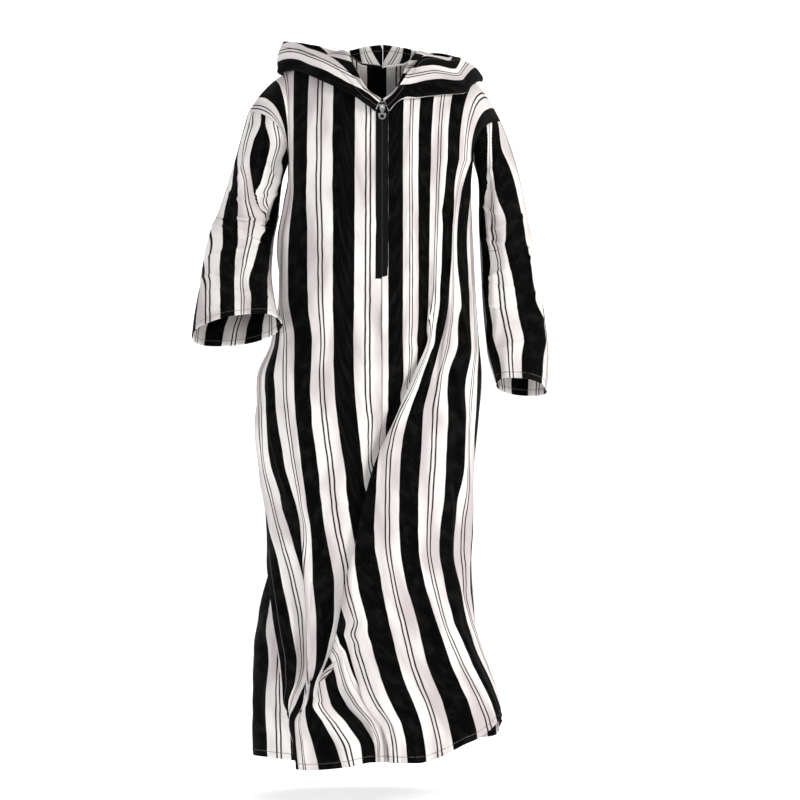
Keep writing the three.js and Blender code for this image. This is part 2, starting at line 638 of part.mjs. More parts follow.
function panelWall(face, from, to, count) {
  const grid = [];
  for (let row = 0; row <= YOKE_ROWS + SKIRT_ROWS; row += 1) {
    const level = row <= YOKE_ROWS ? 1 - row / YOKE_ROWS : -(row - YOKE_ROWS) / SKIRT_ROWS;
    const z = level > 0 ? CHEST_Z : mix(CHEST_Z, HEM_Z, -level);
    const edge = clothWidth(level);
    const ends = [from, to].map((share) => (share === 0 ? 0 : share * edge));
    const places = face === 'front' ? columnsAt(...ends, count, z)
      : Array.from({ length: count + 1 }, (_, i) => mix(...ends, i / count));
    const line = places.map((w, i) => {
      const normal = edgeNormal(face, w, level);
      const point = panelPoint(face, w, level);
      if (level === 1 && Math.abs(w) > NECK_HALF - 1) point[1] += (face === 'front' ? -0.5 : 0.5) * SEAM_GAP;
      const end = i === 0 || i === count;
      if (end && level <= 0) {
        const inside = panelPoint(face, mix(w, places[i === 0 ? 1 : count - 1], 0.2), level);
        return pair(along(point, unit(sub(inside, point)), 0.5 * SEAM_GAP), normal);
      }
      if (end && w === 0) return pair(along(point, [Math.sign(from + to), 0, 0], 0.5 * SEAM_GAP), normal);
      return pair(point, normal);
    });
    grid.push(face === 'front' ? line : line.reverse());
  }
  return wall(grid);
}

// ---------- hood ----------
// The cloth that the hood lies on, from the front over the shoulder and on down the back.
function bedPoint(w, angle) {
  return angle <= 180 ? yokePoint(w, angle) : backPoint(w, CHEST_Z - HOOD_DROP * (angle - 180));
}

function hoodPoint(table, side, u, v) {
  const at = clamp(u, 0, 1);
  const value = (name) => column(table, 'u', name, at);
  const least = at < 0.5 ? HOOD_POINT : SEAM_GAP;
  const neckW = Math.max(least, (NECK_HALF - 0.5) * Math.sin(Math.PI * at));
  const neckAngle = at < 0.5 ? column(FRONT_NECK, 'w', 'angle', neckW) + 0.6
    : 180 - column(BACK_NECK, 'w', 'angle', neckW) - 0.45;
  const layers = [...HOOD_LAYERS, { v: 0.8, out: mix(1, value('rim'), 0.45), height: mix(15, value('puff'), 0.6) },
    { v: 1, out: value('rim'), height: value('puff') }];
  const [out, height] = [column(layers, 'v', 'out', v), column(layers, 'v', 'height', v)];
  const w = side * Math.max(SEAM_GAP, mix(neckW, value('wOut'), out));
  const angle = mix(neckAngle, value('angleOut'), out);
  const up = normalOf(bedPoint, w, angle, 2, 1);
  return along(along(bedPoint(w, angle), up, height), [0, 0, 1], value('lift') * ease(0.6, 1, v));
}

function hoodWall(table, side) {
  const grid = HOOD_LINES.map((v) => {
    const row = Array.from({ length: HOOD_STEPS + 1 }, (_, i) => {
      const u = i / HOOD_STEPS;
      const surface = (a, b) => hoodPoint(table, side, a, clamp(b, 0, 1));
      const normal = normalOf(surface, clamp(u, 0.01, 0.99), v, side * 0.01, 0.012);
      if (u === 1) normal[0] = 0;
      return pair(surface(u, v), unit(normal));
    });
    return side > 0 ? row.reverse() : row;
  });
  return wall(grid);
}

// ---------- zip ----------
function tapeWall() {
  const endLevel = (TAPE_END_Z - CHEST_Z) / (CHEST_Z - column(FRONT_HEM, 'w', 'z', 0));
  const upper = Array.from({ length: 8 }, (_, i) => mix(0.96, 0, i / 8));
  const lower = Array.from({ length: 11 }, (_, i) => mix(0, endLevel, i / 10));
  const columns = [-0.5, -0.17, 0.17, 0.5].map((share) => share * TAPE_WIDTH);
  return wall([...upper, ...lower].map((level) => columns.map((w) => (
    pair(panelPoint('front', w, level), bodyNormal('front', w, level), TAPE_THICK, SEAM_GAP + TAPE_THICK)))));
}

function solidOf(geometry) {
  const bare = geometry.clone();
  bare.deleteAttribute('normal');
  bare.deleteAttribute('uv');
  const merged = mergeVertices(bare, 1e-4);
  return new wasm.Manifold(new wasm.Mesh({
    numProp: 3, vertProperties: merged.attributes.position.array, triVerts: new Uint32Array(merged.index.array),
  }));
}

function geometryOf(solid) {
  const { vertProperties, triVerts } = solid.getMesh();
  const geometry = new THREE.BufferGeometry();
  geometry.setAttribute('position', new THREE.BufferAttribute(Float32Array.from(vertProperties), 3));
  geometry.setIndex([...triVerts]);
  geometry.computeVertexNormals();
  return geometry;
}

const box = (w, d, h, x, y, z) => new THREE.BoxGeometry(w, d, h).translate(x, y, z);
const pinAlongX = (radius, length, y, z) => new THREE.CylinderGeometry(radius, radius, length, 16)
  .rotateZ(Math.PI / 2).translate(0, y, z);

// The slider's own frame: its back lies on the tape at y 0, and it faces -Y. Two lugs carry a pin.
const PIN_Y = -(SLIDER.thick + 3.2);
const PIN_Z = 1.5;

function sliderGeometry() {
  const half = SLIDER.lugGap / 2 + SLIDER.lugWidth / 2;
  const lugDepth = -PIN_Y + 1.8 - SLIDER.thick / 2;
  const lugY = -(SLIDER.thick / 2 + lugDepth / 2);
  const pieces = [
    pinAlongX(SLIDER.pin, SLIDER.lugGap + SLIDER.lugWidth, PIN_Y, PIN_Z),
    box(SLIDER.lugWidth, lugDepth, 4.4, -half, lugY, PIN_Z),
    box(SLIDER.lugWidth, lugDepth, 4.4, half, lugY, PIN_Z),
  ];
  const plate = new THREE.Shape();
  const [w, h] = [SLIDER.width / 2, SLIDER.height / 2];
  plate.moveTo(-w, h - 3);
  plate.quadraticCurveTo(-w, h, -w + 3, h);
  plate.lineTo(w - 3, h);
  plate.quadraticCurveTo(w, h, w, h - 3);
  plate.lineTo(w - 2.5, -h);
  plate.lineTo(-w + 2.5, -h);
  plate.closePath();
  const body = new THREE.ExtrudeGeometry(plate, { depth: SLIDER.thick, bevelEnabled: false, curveSegments: 4 })
    .rotateX(Math.PI / 2);
  return geometryOf(pieces.reduce((sum, piece) => sum.add(solidOf(piece)), solidOf(body)));
}

// The pull hangs from the pin: an eye, a narrow link and a ring with a rounded hole.
function pullGeometry() {
  const { eye, eyeHole, width, link, plate, ring, hole, ringHeight } = PULL;
  const outline = new THREE.Shape();
  const ringTop = -link;
  outline.moveTo(-width / 2, -1);
  outline.lineTo(-width / 2, ringTop);
  outline.lineTo(-ring + 2, ringTop);
  outline.quadraticCurveTo(-ring, ringTop, -ring, ringTop - 2.5);
  outline.quadraticCurveTo(-ring, ringTop - ringHeight, 0, ringTop - ringHeight);
  outline.quadraticCurveTo(ring, ringTop - ringHeight, ring, ringTop - 2.5);
  outline.quadraticCurveTo(ring, ringTop, ring - 2, ringTop);
  outline.lineTo(width / 2, ringTop);
  outline.lineTo(width / 2, -1);
  outline.closePath();
  const opening = new THREE.Path();
  opening.absellipse(0, ringTop - ringHeight * 0.5, hole, ringHeight * 0.29, 0, Math.PI * 2, true);
  outline.holes.push(opening);
  const flat = new THREE.ExtrudeGeometry(outline, { depth: plate, bevelEnabled: false, curveSegments: 8 })
    .translate(0, 0, -plate / 2).rotateX(Math.PI / 2);
  const knuckle = pinAlongX(eye, width, 0, 0);
  const bore = pinAlongX(eyeHole, width + 4, 0, 0);
  return geometryOf(solidOf(flat).add(solidOf(knuckle)).subtract(solidOf(bore)));
}

// ---------- the robe ----------
const cloth = new THREE.MeshStandardMaterial({
  color: 0xe9e4dc, roughness: 0.9, metalness: 0, side: THREE.DoubleSide,
});
const tapeCloth = new THREE.MeshStandardMaterial({ color: 0x141415, roughness: 0.85, metalness: 0 });
const silver = new THREE.MeshStandardMaterial({ color: 0xc4c6c9, roughness: 0.28, metalness: 1 });

const robe = new THREE.Group();
robe.add(
  mesh('front_right', panelWall('front', -1, 0, FRONT_COLUMNS), cloth),
  mesh('front_left', panelWall('front', 0, 1, FRONT_COLUMNS), cloth),
  mesh('back', panelWall('back', -1, 1, BACK_COLUMNS), cloth),
  mesh('sleeve_right', sleeveWall(SLEEVE_RIGHT, -1), cloth),
  mesh('sleeve_left', sleeveWall(SLEEVE_LEFT, 1), cloth),
  mesh('hood_right', hoodWall(HOOD_RIGHT, -1), cloth),
  mesh('hood_left', hoodWall(HOOD_LEFT, 1), cloth),
  mesh('zip_tape', tapeWall(), tapeCloth),
);

// The slider sits on the tape near its top, turned to lie along the cloth, with the pull on its pin.
function sliderPlace() {
  const point = panelPoint('front', 0, SLIDER_LEVEL);
  const normal = bodyNormal('front', 0, SLIDER_LEVEL);
  return { point: along(point, normal, 2 * SEAM_GAP + TAPE_THICK), tilt: Math.atan2(normal[2], -normal[1]) };
}

const hardware = new THREE.Group();
const { point: sliderPoint, tilt: sliderTilt } = sliderPlace();
hardware.position.set(0, sliderPoint[1], sliderPoint[2]);
hardware.rotation.x = -sliderTilt;
const pull = mesh('zip_pull', pullGeometry(), silver);
pull.position.set(0, PIN_Y, PIN_Z);
hardware.add(mesh('zip_slider', sliderGeometry(), silver), pull);
robe.add(hardware);

export default robe;
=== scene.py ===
"""A hooded long robe with a zip neck, hanging as it is worn. Shapes are worked out in millimetres."""
import math

import bpy
import numpy as np
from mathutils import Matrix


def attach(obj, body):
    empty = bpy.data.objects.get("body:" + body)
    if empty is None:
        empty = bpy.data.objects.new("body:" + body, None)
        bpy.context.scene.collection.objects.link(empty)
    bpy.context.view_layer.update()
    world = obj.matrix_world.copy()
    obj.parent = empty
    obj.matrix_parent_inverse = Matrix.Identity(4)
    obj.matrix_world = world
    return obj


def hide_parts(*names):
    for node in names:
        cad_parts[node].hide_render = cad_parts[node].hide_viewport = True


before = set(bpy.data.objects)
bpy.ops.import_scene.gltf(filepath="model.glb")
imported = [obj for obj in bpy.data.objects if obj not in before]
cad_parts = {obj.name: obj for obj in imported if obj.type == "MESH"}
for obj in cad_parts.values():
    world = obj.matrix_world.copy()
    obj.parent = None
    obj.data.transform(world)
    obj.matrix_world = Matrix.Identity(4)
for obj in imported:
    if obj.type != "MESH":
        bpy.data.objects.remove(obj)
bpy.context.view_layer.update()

# ---------- sizes ----------
MM = 0.001
WALL = 2                  # cloth thickness
SEAM_GAP = 0.3            # between pieces at a seam
CHEST_Z = -190            # underarm level
SLIT_TOP_Z = -960         # the side seams end here
SQUARENESS = 2.5          # exponent of the body's rounded sections
SHOULDER_Y = 20           # the shoulder line's place from front to back
SHOULDER_ROUND = 2.2      # exponent of the yoke's curve over the shoulder
NECK_HALF = 78            # the neck's half width on the cloth
PANEL_CHEST = 305         # centre line to side seam on the cloth
PANEL_HEM = 378
HEM_Z = -1374
TURN_RADIUS = 7           # of the cloth where a large fold doubles back
FOLD_FULL = 60            # a fold that hides this much cloth turns at the whole radius
FOLD_LEAST = 3            # a fold that hides less cloth than this is left out
FOLD_LEAD = 90            # cloth that dips before it slides under a fold
FOLD_CLEAR = 6            # no grain line is set nearer to a fold than this
FOLD_REACH = 40           # grain lines nearer than this are led by the fold
FOLD_BIRTH = 30           # a fold that hides less cloth than this still follows the grain
SLIT_BLEND = 70           # below the slit's top, the front's edge takes this long to open
WRAP_BLEND = 90           # and the back's edge this long to slip inside it
EDGE_MARGIN = 12          # grain lines stay this far inside the side edges
OUTER_GRAIN = 320         # those further out than this may come nearer
OUTER_MARGIN = 4
SIDE_EASE = 0.002         # how fast, in radians a millimetre, cloth leaves the side seams
SLIT_LEVEL = (CHEST_Z - SLIT_TOP_Z) / (CHEST_Z - HEM_Z)
LEAST_FACING = 0.25       # relief keeps this share where the cloth faces sideways
FRONT_CALM = 70           # ridges die out this far in from the side seams
BACK_CALM = 80
RIDGE_GROWS = 0.3         # share of its length over which a ridge rises
ARMHOLE_BULGE = 62        # how far the yoke swells at the armhole, in front and behind
BULGE_FROM = 0.45         # share of the half chest where that starts
LEFT_SLIT_SHY = 0.004     # share by which the front's edge draws in at the left slit
TUCK_DEPTH = 22           # how far the front hem goes back at the wearer's right
TUCK_FROM = 225           # on the cloth, from the centre line
TUCK_FULL = 345
WRAP_INSET = 26           # how far the back's edge lies inside the front's at the right slit
INSET_FROM = 0.72         # shares of the half width
INSET_FULL = 0.98
SLEEVE_JOIN = 0.2         # share of a sleeve over which the armhole turns into a tube
SLEEVE_RADIUS = 62        # of a sleeve on average
RIDGE_TAIL = 0.62         # share of its length past which a sleeve's ridge no longer sinks
HOOD_POINT = 1.6          # how near the hood's halves come to the centre line in front
HOOD_DROP = 3.4           # millimetres down the back for each degree past 180
HOOD_FRONT_GAP = 0.6      # degrees between the hood's first row and the neck's edge
HOOD_BACK_GAP = 0.45
TAPE_WIDTH = 24
TAPE_END_Z = -428
TAPE_THICK = 1.2
STRIPE = 92               # one black band, one white band
BLACK_HALF = 20.5
LINE_OFF = 4.3            # each thin line from the white band's centre
LINE_HALF = 1.6
HEM_TURN = 12             # the stitched hem's height
STITCH = 3.2              # one stitch with its gap
NO_HEM = 200              # stands for a hem too far off to matter


# ---------- numbers and curves ----------
def rows(names, *values):
    return dict(zip(names.split(), np.array(values, float).T))


def mix(a, b, t):
    return a + (b - a) * t


def ease(start, end, value):
    t = np.clip((np.asarray(value, float) - start) / (end - start), 0, 1)
    return t * t * (3 - 2 * t)


def through(places, heights, at):
    """A curve through knots that never overshoots them."""
    order = np.argsort(places, kind="stable")
    x, y = np.asarray(places, float)[order], np.asarray(heights, float)[order]
    slope = np.diff(y) / np.diff(x)
    before, after = slope[:-1], slope[1:]
    total = np.where(before + after == 0, 1, before + after)
    inner = np.where(before * after <= 0, 0, 2 * before * after / total)
    tangent = np.concatenate([slope[:1], inner, slope[-1:]])
    at = np.clip(np.asarray(at, float), x[0], x[-1])
    i = np.clip(np.searchsorted(x, at) - 1, 0, len(x) - 2)
    width = x[i + 1] - x[i]
    t = (at - x[i]) / width
    t2, t3 = t * t, t * t * t
    return (y[i] * (2 * t3 - 3 * t2 + 1) + tangent[i] * width * (t3 - 2 * t2 + t)
            + y[i + 1] * (3 * t2 - 2 * t3) + tangent[i + 1] * width * (t3 - t2))

def curve(table, key, name, at):
    return through(table[key], table[name], at)


def half_turn(degrees):
    """The same angle between -180 and 180."""
    return np.mod(degrees + 540, 360) - 180



def cell_noise(x, seed):
    """Smooth uneven values along x, one new value each unit."""
    cell = np.floor(x)
    t = x - cell
    t = t * t * (3 - 2 * t)

    def value(k):
        raw = np.sin(k * 127.1 + seed * 311.7) * 43758.5453
        return raw - np.floor(raw)
    return 2 * mix(value(cell), value(cell + 1), t) - 1


def uneven(x, y, seed):
    """The same over a surface."""
    cx, cy = np.floor(x), np.floor(y)
    tx, ty = x - cx, y - cy
    tx, ty = tx * tx * (3 - 2 * tx), ty * ty * (3 - 2 * ty)

    def value(a, b):
        raw = np.sin(a * 127.1 + b * 269.5 + seed * 74.7) * 43758.5453
        return raw - np.floor(raw)
    low = mix(value(cx, cy), value(cx + 1, cy), tx)
    high = mix(value(cx, cy + 1), value(cx + 1, cy + 1), tx)
    return 2 * mix(low, high, ty) - 1


# ---------- tables ----------
SECTIONS = rows(
    "z right left front back",
    [-190, 188, 181, 150, 135], [-240, 188, 177, 154, 132], [-350, 205, 181, 160, 128],
    [-470, 208, 187, 168, 126], [-550, 222, 193, 172, 132], [-625, 250, 199, 174, 140],
    [-700, 249, 193, 176, 148], [-860, 236, 180, 180, 160], [-960, 231, 178, 184, 166],
    [-1100, 243, 184, 192, 174], [-1260, 246, 232, 200, 182], [-1380, 242, 252, 206, 188],
)
GRAIN = rows(
    "z r347 r301 r255 r209 r163 r72 l0 l12 l53 l124 l216 l308",
    [-190, -188, -188, -187, -184, -163, -75, 0, 12, 41, 83, 141, 178],
    [-240, -188, -188, -187, -185, -164, -75, 0, 12, 41, 82, 134, 168],
    [-350, -205, -205, -204, -199, -164, -75, 0, 12, 41, 82, 126, 157],
    [-470, -208, -208, -206, -199, -162, -76, 0, 12, 41, 81, 121, 161],
    [-550, -222, -220, -210, -190, -154, -76, 0, 12, 41, 77, 106, 162],
    [-625, -250, -244, -222, -190, -157, -74, 0, 12, 41, 57, 85, 147],
    [-700, -249, -238, -218, -186, -153, -67, 0, 13, 26, 28, 62, 150],
    [-780, -240, -232, -204, -176, -144, -57, -11, -11, -11, -10, 55, 146],
    [-860, -234, -219, -180, -162, -135, -47, -35, -35, -34, -30, 51, 141],
    [-960, -221, -193, -165, -149, -121, -57, -55, -55, -54, -30, 54, 131],
    [-1020, -212, -176, -155, -149, -113, -72, -72, -72, -71, -26, 65, 139],
    [-1100, -195, -158, -149, -147, -108, -86, -86, -86, -84, -8, 89, 155],
    [-1140, -186, -156, -149, -147, -116, -95, -80, -76, -70, 2, 99, 171],
    [-1180, -178, -153, -149, -146, -123, -102, -71, -64, -58, 12, 109, 188],
    [-1220, -178, -164, -158, -155, -141, -99, -57, -49, -44, 24, 125, 206],
    [-1260, -188, -178, -167, -158, -144, -84, -34, -29, -24, 41, 142, 222],
    [-1300, -178, -184, -176, -160, -131, -49, -4, 2, 6, 57, 153, 234],
    [-1340, -158, -172, -172, -154, -112, -27, 4, 9, 14, 65, 161, 240],
    [-1395, -128, -150, -165, -150, -92, -24, 4, 9, 15, 69, 165, 240],
)
RIGHT_SLIT = rows(
    "z x",
    [-960, -231], [-1020, -226], [-1100, -216], [-1180, -204], [-1220, -200], [-1260, -196],
    [-1300, -168], [-1340, -140], [-1395, -105],
)
HIP_FOLD = rows(
    "z crease under over",
    [-480, 112, 180, 180], [-550, 90, 137, 154], [-625, 57, 88, 152], [-700, 26, 35, 160],
    [-780, -11, -10, 138], [-860, -35, -60, 116], [-940, -51, -89, 104], [-1020, -72, -121, 75],
    [-1060, -79, -127, 56], [-1100, -86, -132, 30], [-1140, -95, -133, -10], [-1180, -110, -138, -74],
    [-1220, -125, -138, -118], [-1262, -128, -132, -132],
)
KNEE_FOLD = rows(
    "z crease under over",
    [-850, -168, -244, -244], [-940, -159, -258, -223], [-1020, -154, -276, -208],
    [-1100, -149, -288, -206], [-1180, -148, -288, -208], [-1250, -154, -262, -224],
    [-1300, -170, -240, -240],
)
TUCK = rows(
    "z amount",
    [-1250, 0], [-1300, 0.4], [-1340, 0.8], [-1395, 1],
)
PANEL_WIDTHS = rows(
    "z w",
    [-1395, PANEL_HEM], [-1000, 366], [-550, 352], [-350, 338], [CHEST_Z, PANEL_CHEST],
)
FRONT_HEM = rows(
    "w z",
    [-378, -1374], [-209, -1390], [-150, -1384], [-72, -1372], [124, -1373], [170, -1363], [216, -1341],
    [308, -1298], [378, -1292],
)
BACK_HEM = rows(
    "w z",
    [-378, -1374], [0, -1368], [250, -1348], [378, -1306],
)
FRONT_RIDGES = rows(
    "wTop zTop wEnd zEnd half height",
    [-112, -230, -118, -900, 46, 7], [-200, -420, -228, -980, 30, 9], [-20, -520, -60, -860, 34, 6],
    [80, -210, 84, -520, 30, 6], [188, -240, 176, -560, 26, 13], [260, -560, 240, -1240, 40, 12],
    [322, -500, 330, -1200, 30, 9], [-150, -1130, -96, -1395, 34, 15], [30, -1190, 32, -1395, 24, -13],
    [108, -900, 120, -1395, 44, 9], [196, -1000, 190, -1395, 36, -9], [272, -1180, 280, -1395, 34, 10],
)
BACK_RIDGES = rows(
    "wTop zTop wEnd zEnd half height",
    [-210, -330, -268, -1395, 48, 15], [-96, -420, -130, -1395, 44, 12], [0, -520, 12, -1395, 40, 9],
    [110, -380, 128, -1395, 46, 14], [215, -300, 262, -1395, 50, 16],
)
WRAP = rows(
    "z right left",
    [-960, 0, 0], [-1020, 7, -1], [-1100, 22, -2], [-1180, 34, -3], [-1260, 39, -3], [-1395, 40, -3],
)
SHOULDER = rows(
    "w x z",
    [-305, -270, -90], [-268, -243, -52], [-225, -208, -20], [-160, -156, 4], [-78, -78, 28],
    [0, 0, 52], [78, 76, 26], [160, 140, 2], [225, 182, -26], [268, 212, -62], [305, 237, -108],
)
FRONT_NECK = rows(
    "w angle",
    [0, 25], [26, 31], [52, 50], [70, 74], [78, 90],
)
BACK_NECK = rows(
    "w angle",
    [0, 52], [40, 58], [64, 72], [78, 90],
)
SLEEVE_RIGHT = rows(
    "s x y z half deep pitch roll",
    [0.00, -229, 10, -140, 65, 62, 0, 50], [0.16, -248, 8, -205, 53, 62, -2, 26],
    [0.36, -264, 12, -285, 57, 62, 0, 14], [0.55, -280, -6, -352, 62, 64, 8, 6],
    [0.75, -288, -62, -430, 69, 66, 20, 0], [0.90, -288, -116, -488, 79, 68, 25, -4],
    [1.00, -283, -150, -528, 88, 70, 25, -7],
)
SLEEVE_LEFT = rows(
    "s x y z half deep pitch roll",
    [0.00, 213, 10, -149, 50, 62, 0, 56], [0.14, 230, 10, -212, 42, 62, -2, 26],
    [0.32, 241, 18, -305, 49, 64, -2, 10], [0.52, 252, 22, -400, 55, 68, 3, 5],
    [0.72, 261, 12, -490, 59, 72, 8, 2], [0.88, 269, -4, -570, 60, 78, 11, -2],
    [1.00, 276, -16, -640, 50, 82, 12, -6],
)
SLEEVE_RIDGES = rows(
    "angle drift from to half height",
    [70, 40, 0.12, 0.72, 24, 9], [105, -30, 0.08, 0.55, 18, 8], [28, 30, 0.3, 0.95, 22, 7],
    [140, -10, 0.45, 1.05, 20, 5], [245, -20, 0.15, 0.8, 22, 8], [300, 30, 0.3, 1.05, 28, 8],
)
HOOD_RIGHT = rows(
    "u wOut angleOut rim puff lift",
    [0.00, 12, 20, 0.3, 12, 0], [0.14, 44, 28, 0.35, 14, 0], [0.30, 98, 42, 0.5, 20, 2],
    [0.46, 158, 62, 0.78, 34, 12], [0.60, 216, 94, 0.82, 42, 20], [0.76, 184, 132, 0.45, 48, 34],
    [0.90, 92, 174, 0.14, 50, 36], [1.00, 0, 196, 0.06, 52, 36],
)
HOOD_LEFT = rows(
    "u wOut angleOut rim puff lift",
    [0.00, 12, 20, 0.3, 12, 0], [0.14, 40, 27, 0.3, 14, 0], [0.30, 110, 34, 0.3, 20, 1],
    [0.46, 226, 52, 0.5, 22, 0], [0.60, 232, 88, 0.58, 20, 0], [0.76, 190, 130, 0.32, 34, 20],
    [0.90, 94, 174, 0.14, 50, 36], [1.00, 0, 196, 0.06, 52, 36],
)
HOOD_LAYERS = rows(
    "v out height",
    [0.00, 0, 0], [0.08, 0.0, 6], [0.16, 0.1, 8.5], [0.28, 0.38, 6.5], [0.42, 0.8, 6.5],
    [0.50, 1.0, 6.5], [0.56, 1.03, 11], [0.62, 1.0, 15],
)
# where each column of GRAIN lies on the cloth: r72 is 72 mm to the wearer's right of the centre line
GRAIN_LINES = {name: (-1 if name[0] == "r" else 1) * float(name[1:]) for name in list(GRAIN)[1:]}


# ---------- the body's surface ----------
def panel_width(z):
    return curve(PANEL_WIDTHS, "z", "w", z)


def fold_at(table, z):
    """The cloth runs on under the crease, doubles back, and turns over it: w, x and depth there."""
    crease, under, over = (float(curve(table, "z", name, z)) for name in ("crease", "under", "over"))
    hidden = over - under
    radius = TURN_RADIUS * min(1, hidden / FOLD_FULL)
    quarter = math.pi * radius / 2
    run = max(0.5, (hidden - 3 * quarter) / 2)
    inner = under + run
    w = [under, inner, inner + quarter, inner + 2 * quarter, over - quarter, over, over + quarter]
    x = [crease, crease + run, crease + run + radius, crease + run, crease + radius, crease, crease + radius]
    deep = [4 * radius, 4 * radius, 3 * radius, 2 * radius, 2 * radius, radius, 0]
    return {"under": under, "over": over, "end": over + quarter, "radius": radius,
            "w": w, "x": x, "deep": deep}


def active_folds(z):
    near = [t for t in (HIP_FOLD, KNEE_FOLD) if t["z"][-1] + 2 < z < t["z"][0] - 2]
    return [fold for fold in (fold_at(t, z) for t in near) if fold["over"] - fold["under"] > FOLD_LEAST]


def section_point(angle, right, left, front):
    across = np.sin(angle)
    half = np.where(angle < 0, right, left)
    deep = np.clip(1 - np.abs(across) ** SQUARENESS, 0, 1) ** (1 / SQUARENESS)
    return half * across, -front * deep * np.sign(np.cos(angle))


# the front is worked out on this grid, which runs a little past the cloth's edges
FRONT_W = np.arange(-382, 383, 1.0)
FRONT_Z = np.arange(-188, -1404, -2.0)


def front_row(z):
    """Across the front at one height: x, y and how squarely the cloth faces forward."""
    right, left, front = (float(curve(SECTIONS, "z", name, z)) for name in ("right", "left", "front"))
    folds = active_folds(z)
    edge = float(panel_width(z))
    opening = float(ease(0, SLIT_BLEND, SLIT_TOP_Z - z))
    grain = {-edge: mix(-right, float(curve(RIGHT_SLIT, "z", "x", z)), opening),
             edge: left * (1 - LEFT_SLIT_SHY * opening)}
    for name, w in GRAIN_LINES.items():
        reach = edge - (OUTER_MARGIN if abs(w) > OUTER_GRAIN else EDGE_MARGIN)
        grain[float(np.clip(w, -reach, reach))] = float(curve(GRAIN, "z", name, z))
    knots = dict(grain)
    for fold in folds:
        grown = float(ease(0, FOLD_BIRTH, fold["over"] - fold["under"]))
        off = {w: max(fold["under"] - w, w - fold["end"]) for w in knots}
        natural = through(list(grain), list(grain.values()), fold["w"])
        kept = {w: x for w, x in knots.items() if off[w] >= FOLD_REACH or abs(w) == edge}
        kept.update(zip(fold["w"], mix(natural, np.array(fold["x"]), grown)))
        far_w, far_x = list(kept), list(kept.values())
        for w, x in knots.items():
            if w not in kept and off[w] > FOLD_CLEAR:
                led = float(through(far_w, far_x, w))
                kept[w] = mix(x, mix(led, x, float(ease(FOLD_CLEAR, FOLD_REACH, off[w]))), grown)
        knots = kept
    w, x = (np.array(part, float) for part in zip(*sorted(knots.items())))
    most = math.pi / 2 - SIDE_EASE * (edge - np.abs(w))
    angles = np.clip(np.arcsin(np.clip(x / np.where(x < 0, right, left), -1, 1)), -most, most)
    angle = through(w, angles, FRONT_W)
    x, y = section_point(angle, right, left, front)
    deep = np.zeros_like(FRONT_W)
    for fold in folds:
        lead = 4 * fold["radius"] * (1 - ease(0, FOLD_LEAD, fold["under"] - FRONT_W))
        inside = through(fold["w"], fold["deep"], FRONT_W)
        deep += np.where(FRONT_W > fold["end"], 0, np.where(FRONT_W < fold["under"], lead, inside))
    deep += float(curve(TUCK, "z", "amount", z)) * TUCK_DEPTH * ease(TUCK_FROM, TUCK_FULL, -FRONT_W)
    facing = np.maximum(LEAST_FACING, np.cos(angle))
    return x, y + deep * facing, facing


FRONT_ROWS = np.array([front_row(z) for z in FRONT_Z])


def ridge_height(table, w, z):
    total = 0
    for i in range(len(table["wTop"])):
        top, end = table["zTop"][i], table["zEnd"][i]
        along = (top - z) / (top - end)
        across = (w - mix(table["wTop"][i], table["wEnd"][i], along)) / table["half"][i]
        grown = (along > 0) * ease(0, RIDGE_GROWS, along)
        total = total + grown * table["height"][i] * np.exp(-across * across)
    return total


def front_point(w, z):
    w, z = np.broadcast_arrays(np.asarray(w, float), np.asarray(z, float))
    col = np.clip((w - FRONT_W[0]) / (FRONT_W[1] - FRONT_W[0]), 0, len(FRONT_W) - 1.001)
    row = np.clip((z - FRONT_Z[0]) / (FRONT_Z[1] - FRONT_Z[0]), 0, len(FRONT_Z) - 1.001)
    c, r = col.astype(int), row.astype(int)
    tc, tr = col - c, row - r
    x, y, facing = (mix(mix(FRONT_ROWS[r, k, c], FRONT_ROWS[r, k, c + 1], tc),
                        mix(FRONT_ROWS[r + 1, k, c], FRONT_ROWS[r + 1, k, c + 1], tc), tr) for k in range(3))
    calm = ease(0, FRONT_CALM, panel_width(z) - np.abs(w))
    return np.stack([x, y - calm * ridge_height(FRONT_RIDGES, w, z) * facing, z], -1)


def back_point(w, z):
    w, z = np.broadcast_arrays(np.asarray(w, float), np.asarray(z, float))
    right, left, depth, front = (curve(SECTIONS, "z", name, z) for name in ("right", "left", "back", "front"))
    wrap = np.where(w < 0, curve(WRAP, "z", "right", z), curve(WRAP, "z", "left", z))
    share = w / panel_width(z)
    angle = np.radians(share * (90 + wrap))
    inset = WRAP_INSET * ease(0, WRAP_BLEND, SLIT_TOP_Z - z) * ease(INSET_FROM, INSET_FULL, np.abs(share))
    reach = np.where(np.abs(angle) > math.pi / 2, front, depth)
    x, y = section_point(angle, right - np.where(w < 0, inset, 0), left, reach)
    raised = ease(0, BACK_CALM, panel_width(z) - np.abs(w)) * ridge_height(BACK_RIDGES, w, z)
    return np.stack([x + raised * np.sin(angle), -y + raised * np.cos(angle), z], -1)


def yoke_point(w, angle):
    """Over the shoulder: 0 degrees at the underarm level in front, 90 on the shoulder line, 180 behind."""
    w, angle = np.broadcast_arrays(np.asarray(w, float), np.asarray(angle, float))
    front = angle <= 90
    below = np.where(front[..., None], front_point(w, CHEST_Z), back_point(w, CHEST_Z))
    over = np.radians(np.where(front, angle, 180 - angle))
    s, c = np.sin(over), np.clip(np.cos(over), 0, 1)
    up, out = np.clip(s, 0, 1) ** (2 / SHOULDER_ROUND), c ** (2 / SHOULDER_ROUND)
    edge = ease(BULGE_FROM, 1, np.abs(w) / PANEL_CHEST)
    bulge = ARMHOLE_BULGE * np.sin(2 * over) * edge * np.where(front, -1, 1)
    x = mix(below[..., 0], curve(SHOULDER, "w", "x", w), 1 - c)
    z = mix(CHEST_Z, curve(SHOULDER, "w", "z", w), up)
    return np.stack([x, mix(SHOULDER_Y, below[..., 1], out) + bulge, z], -1)


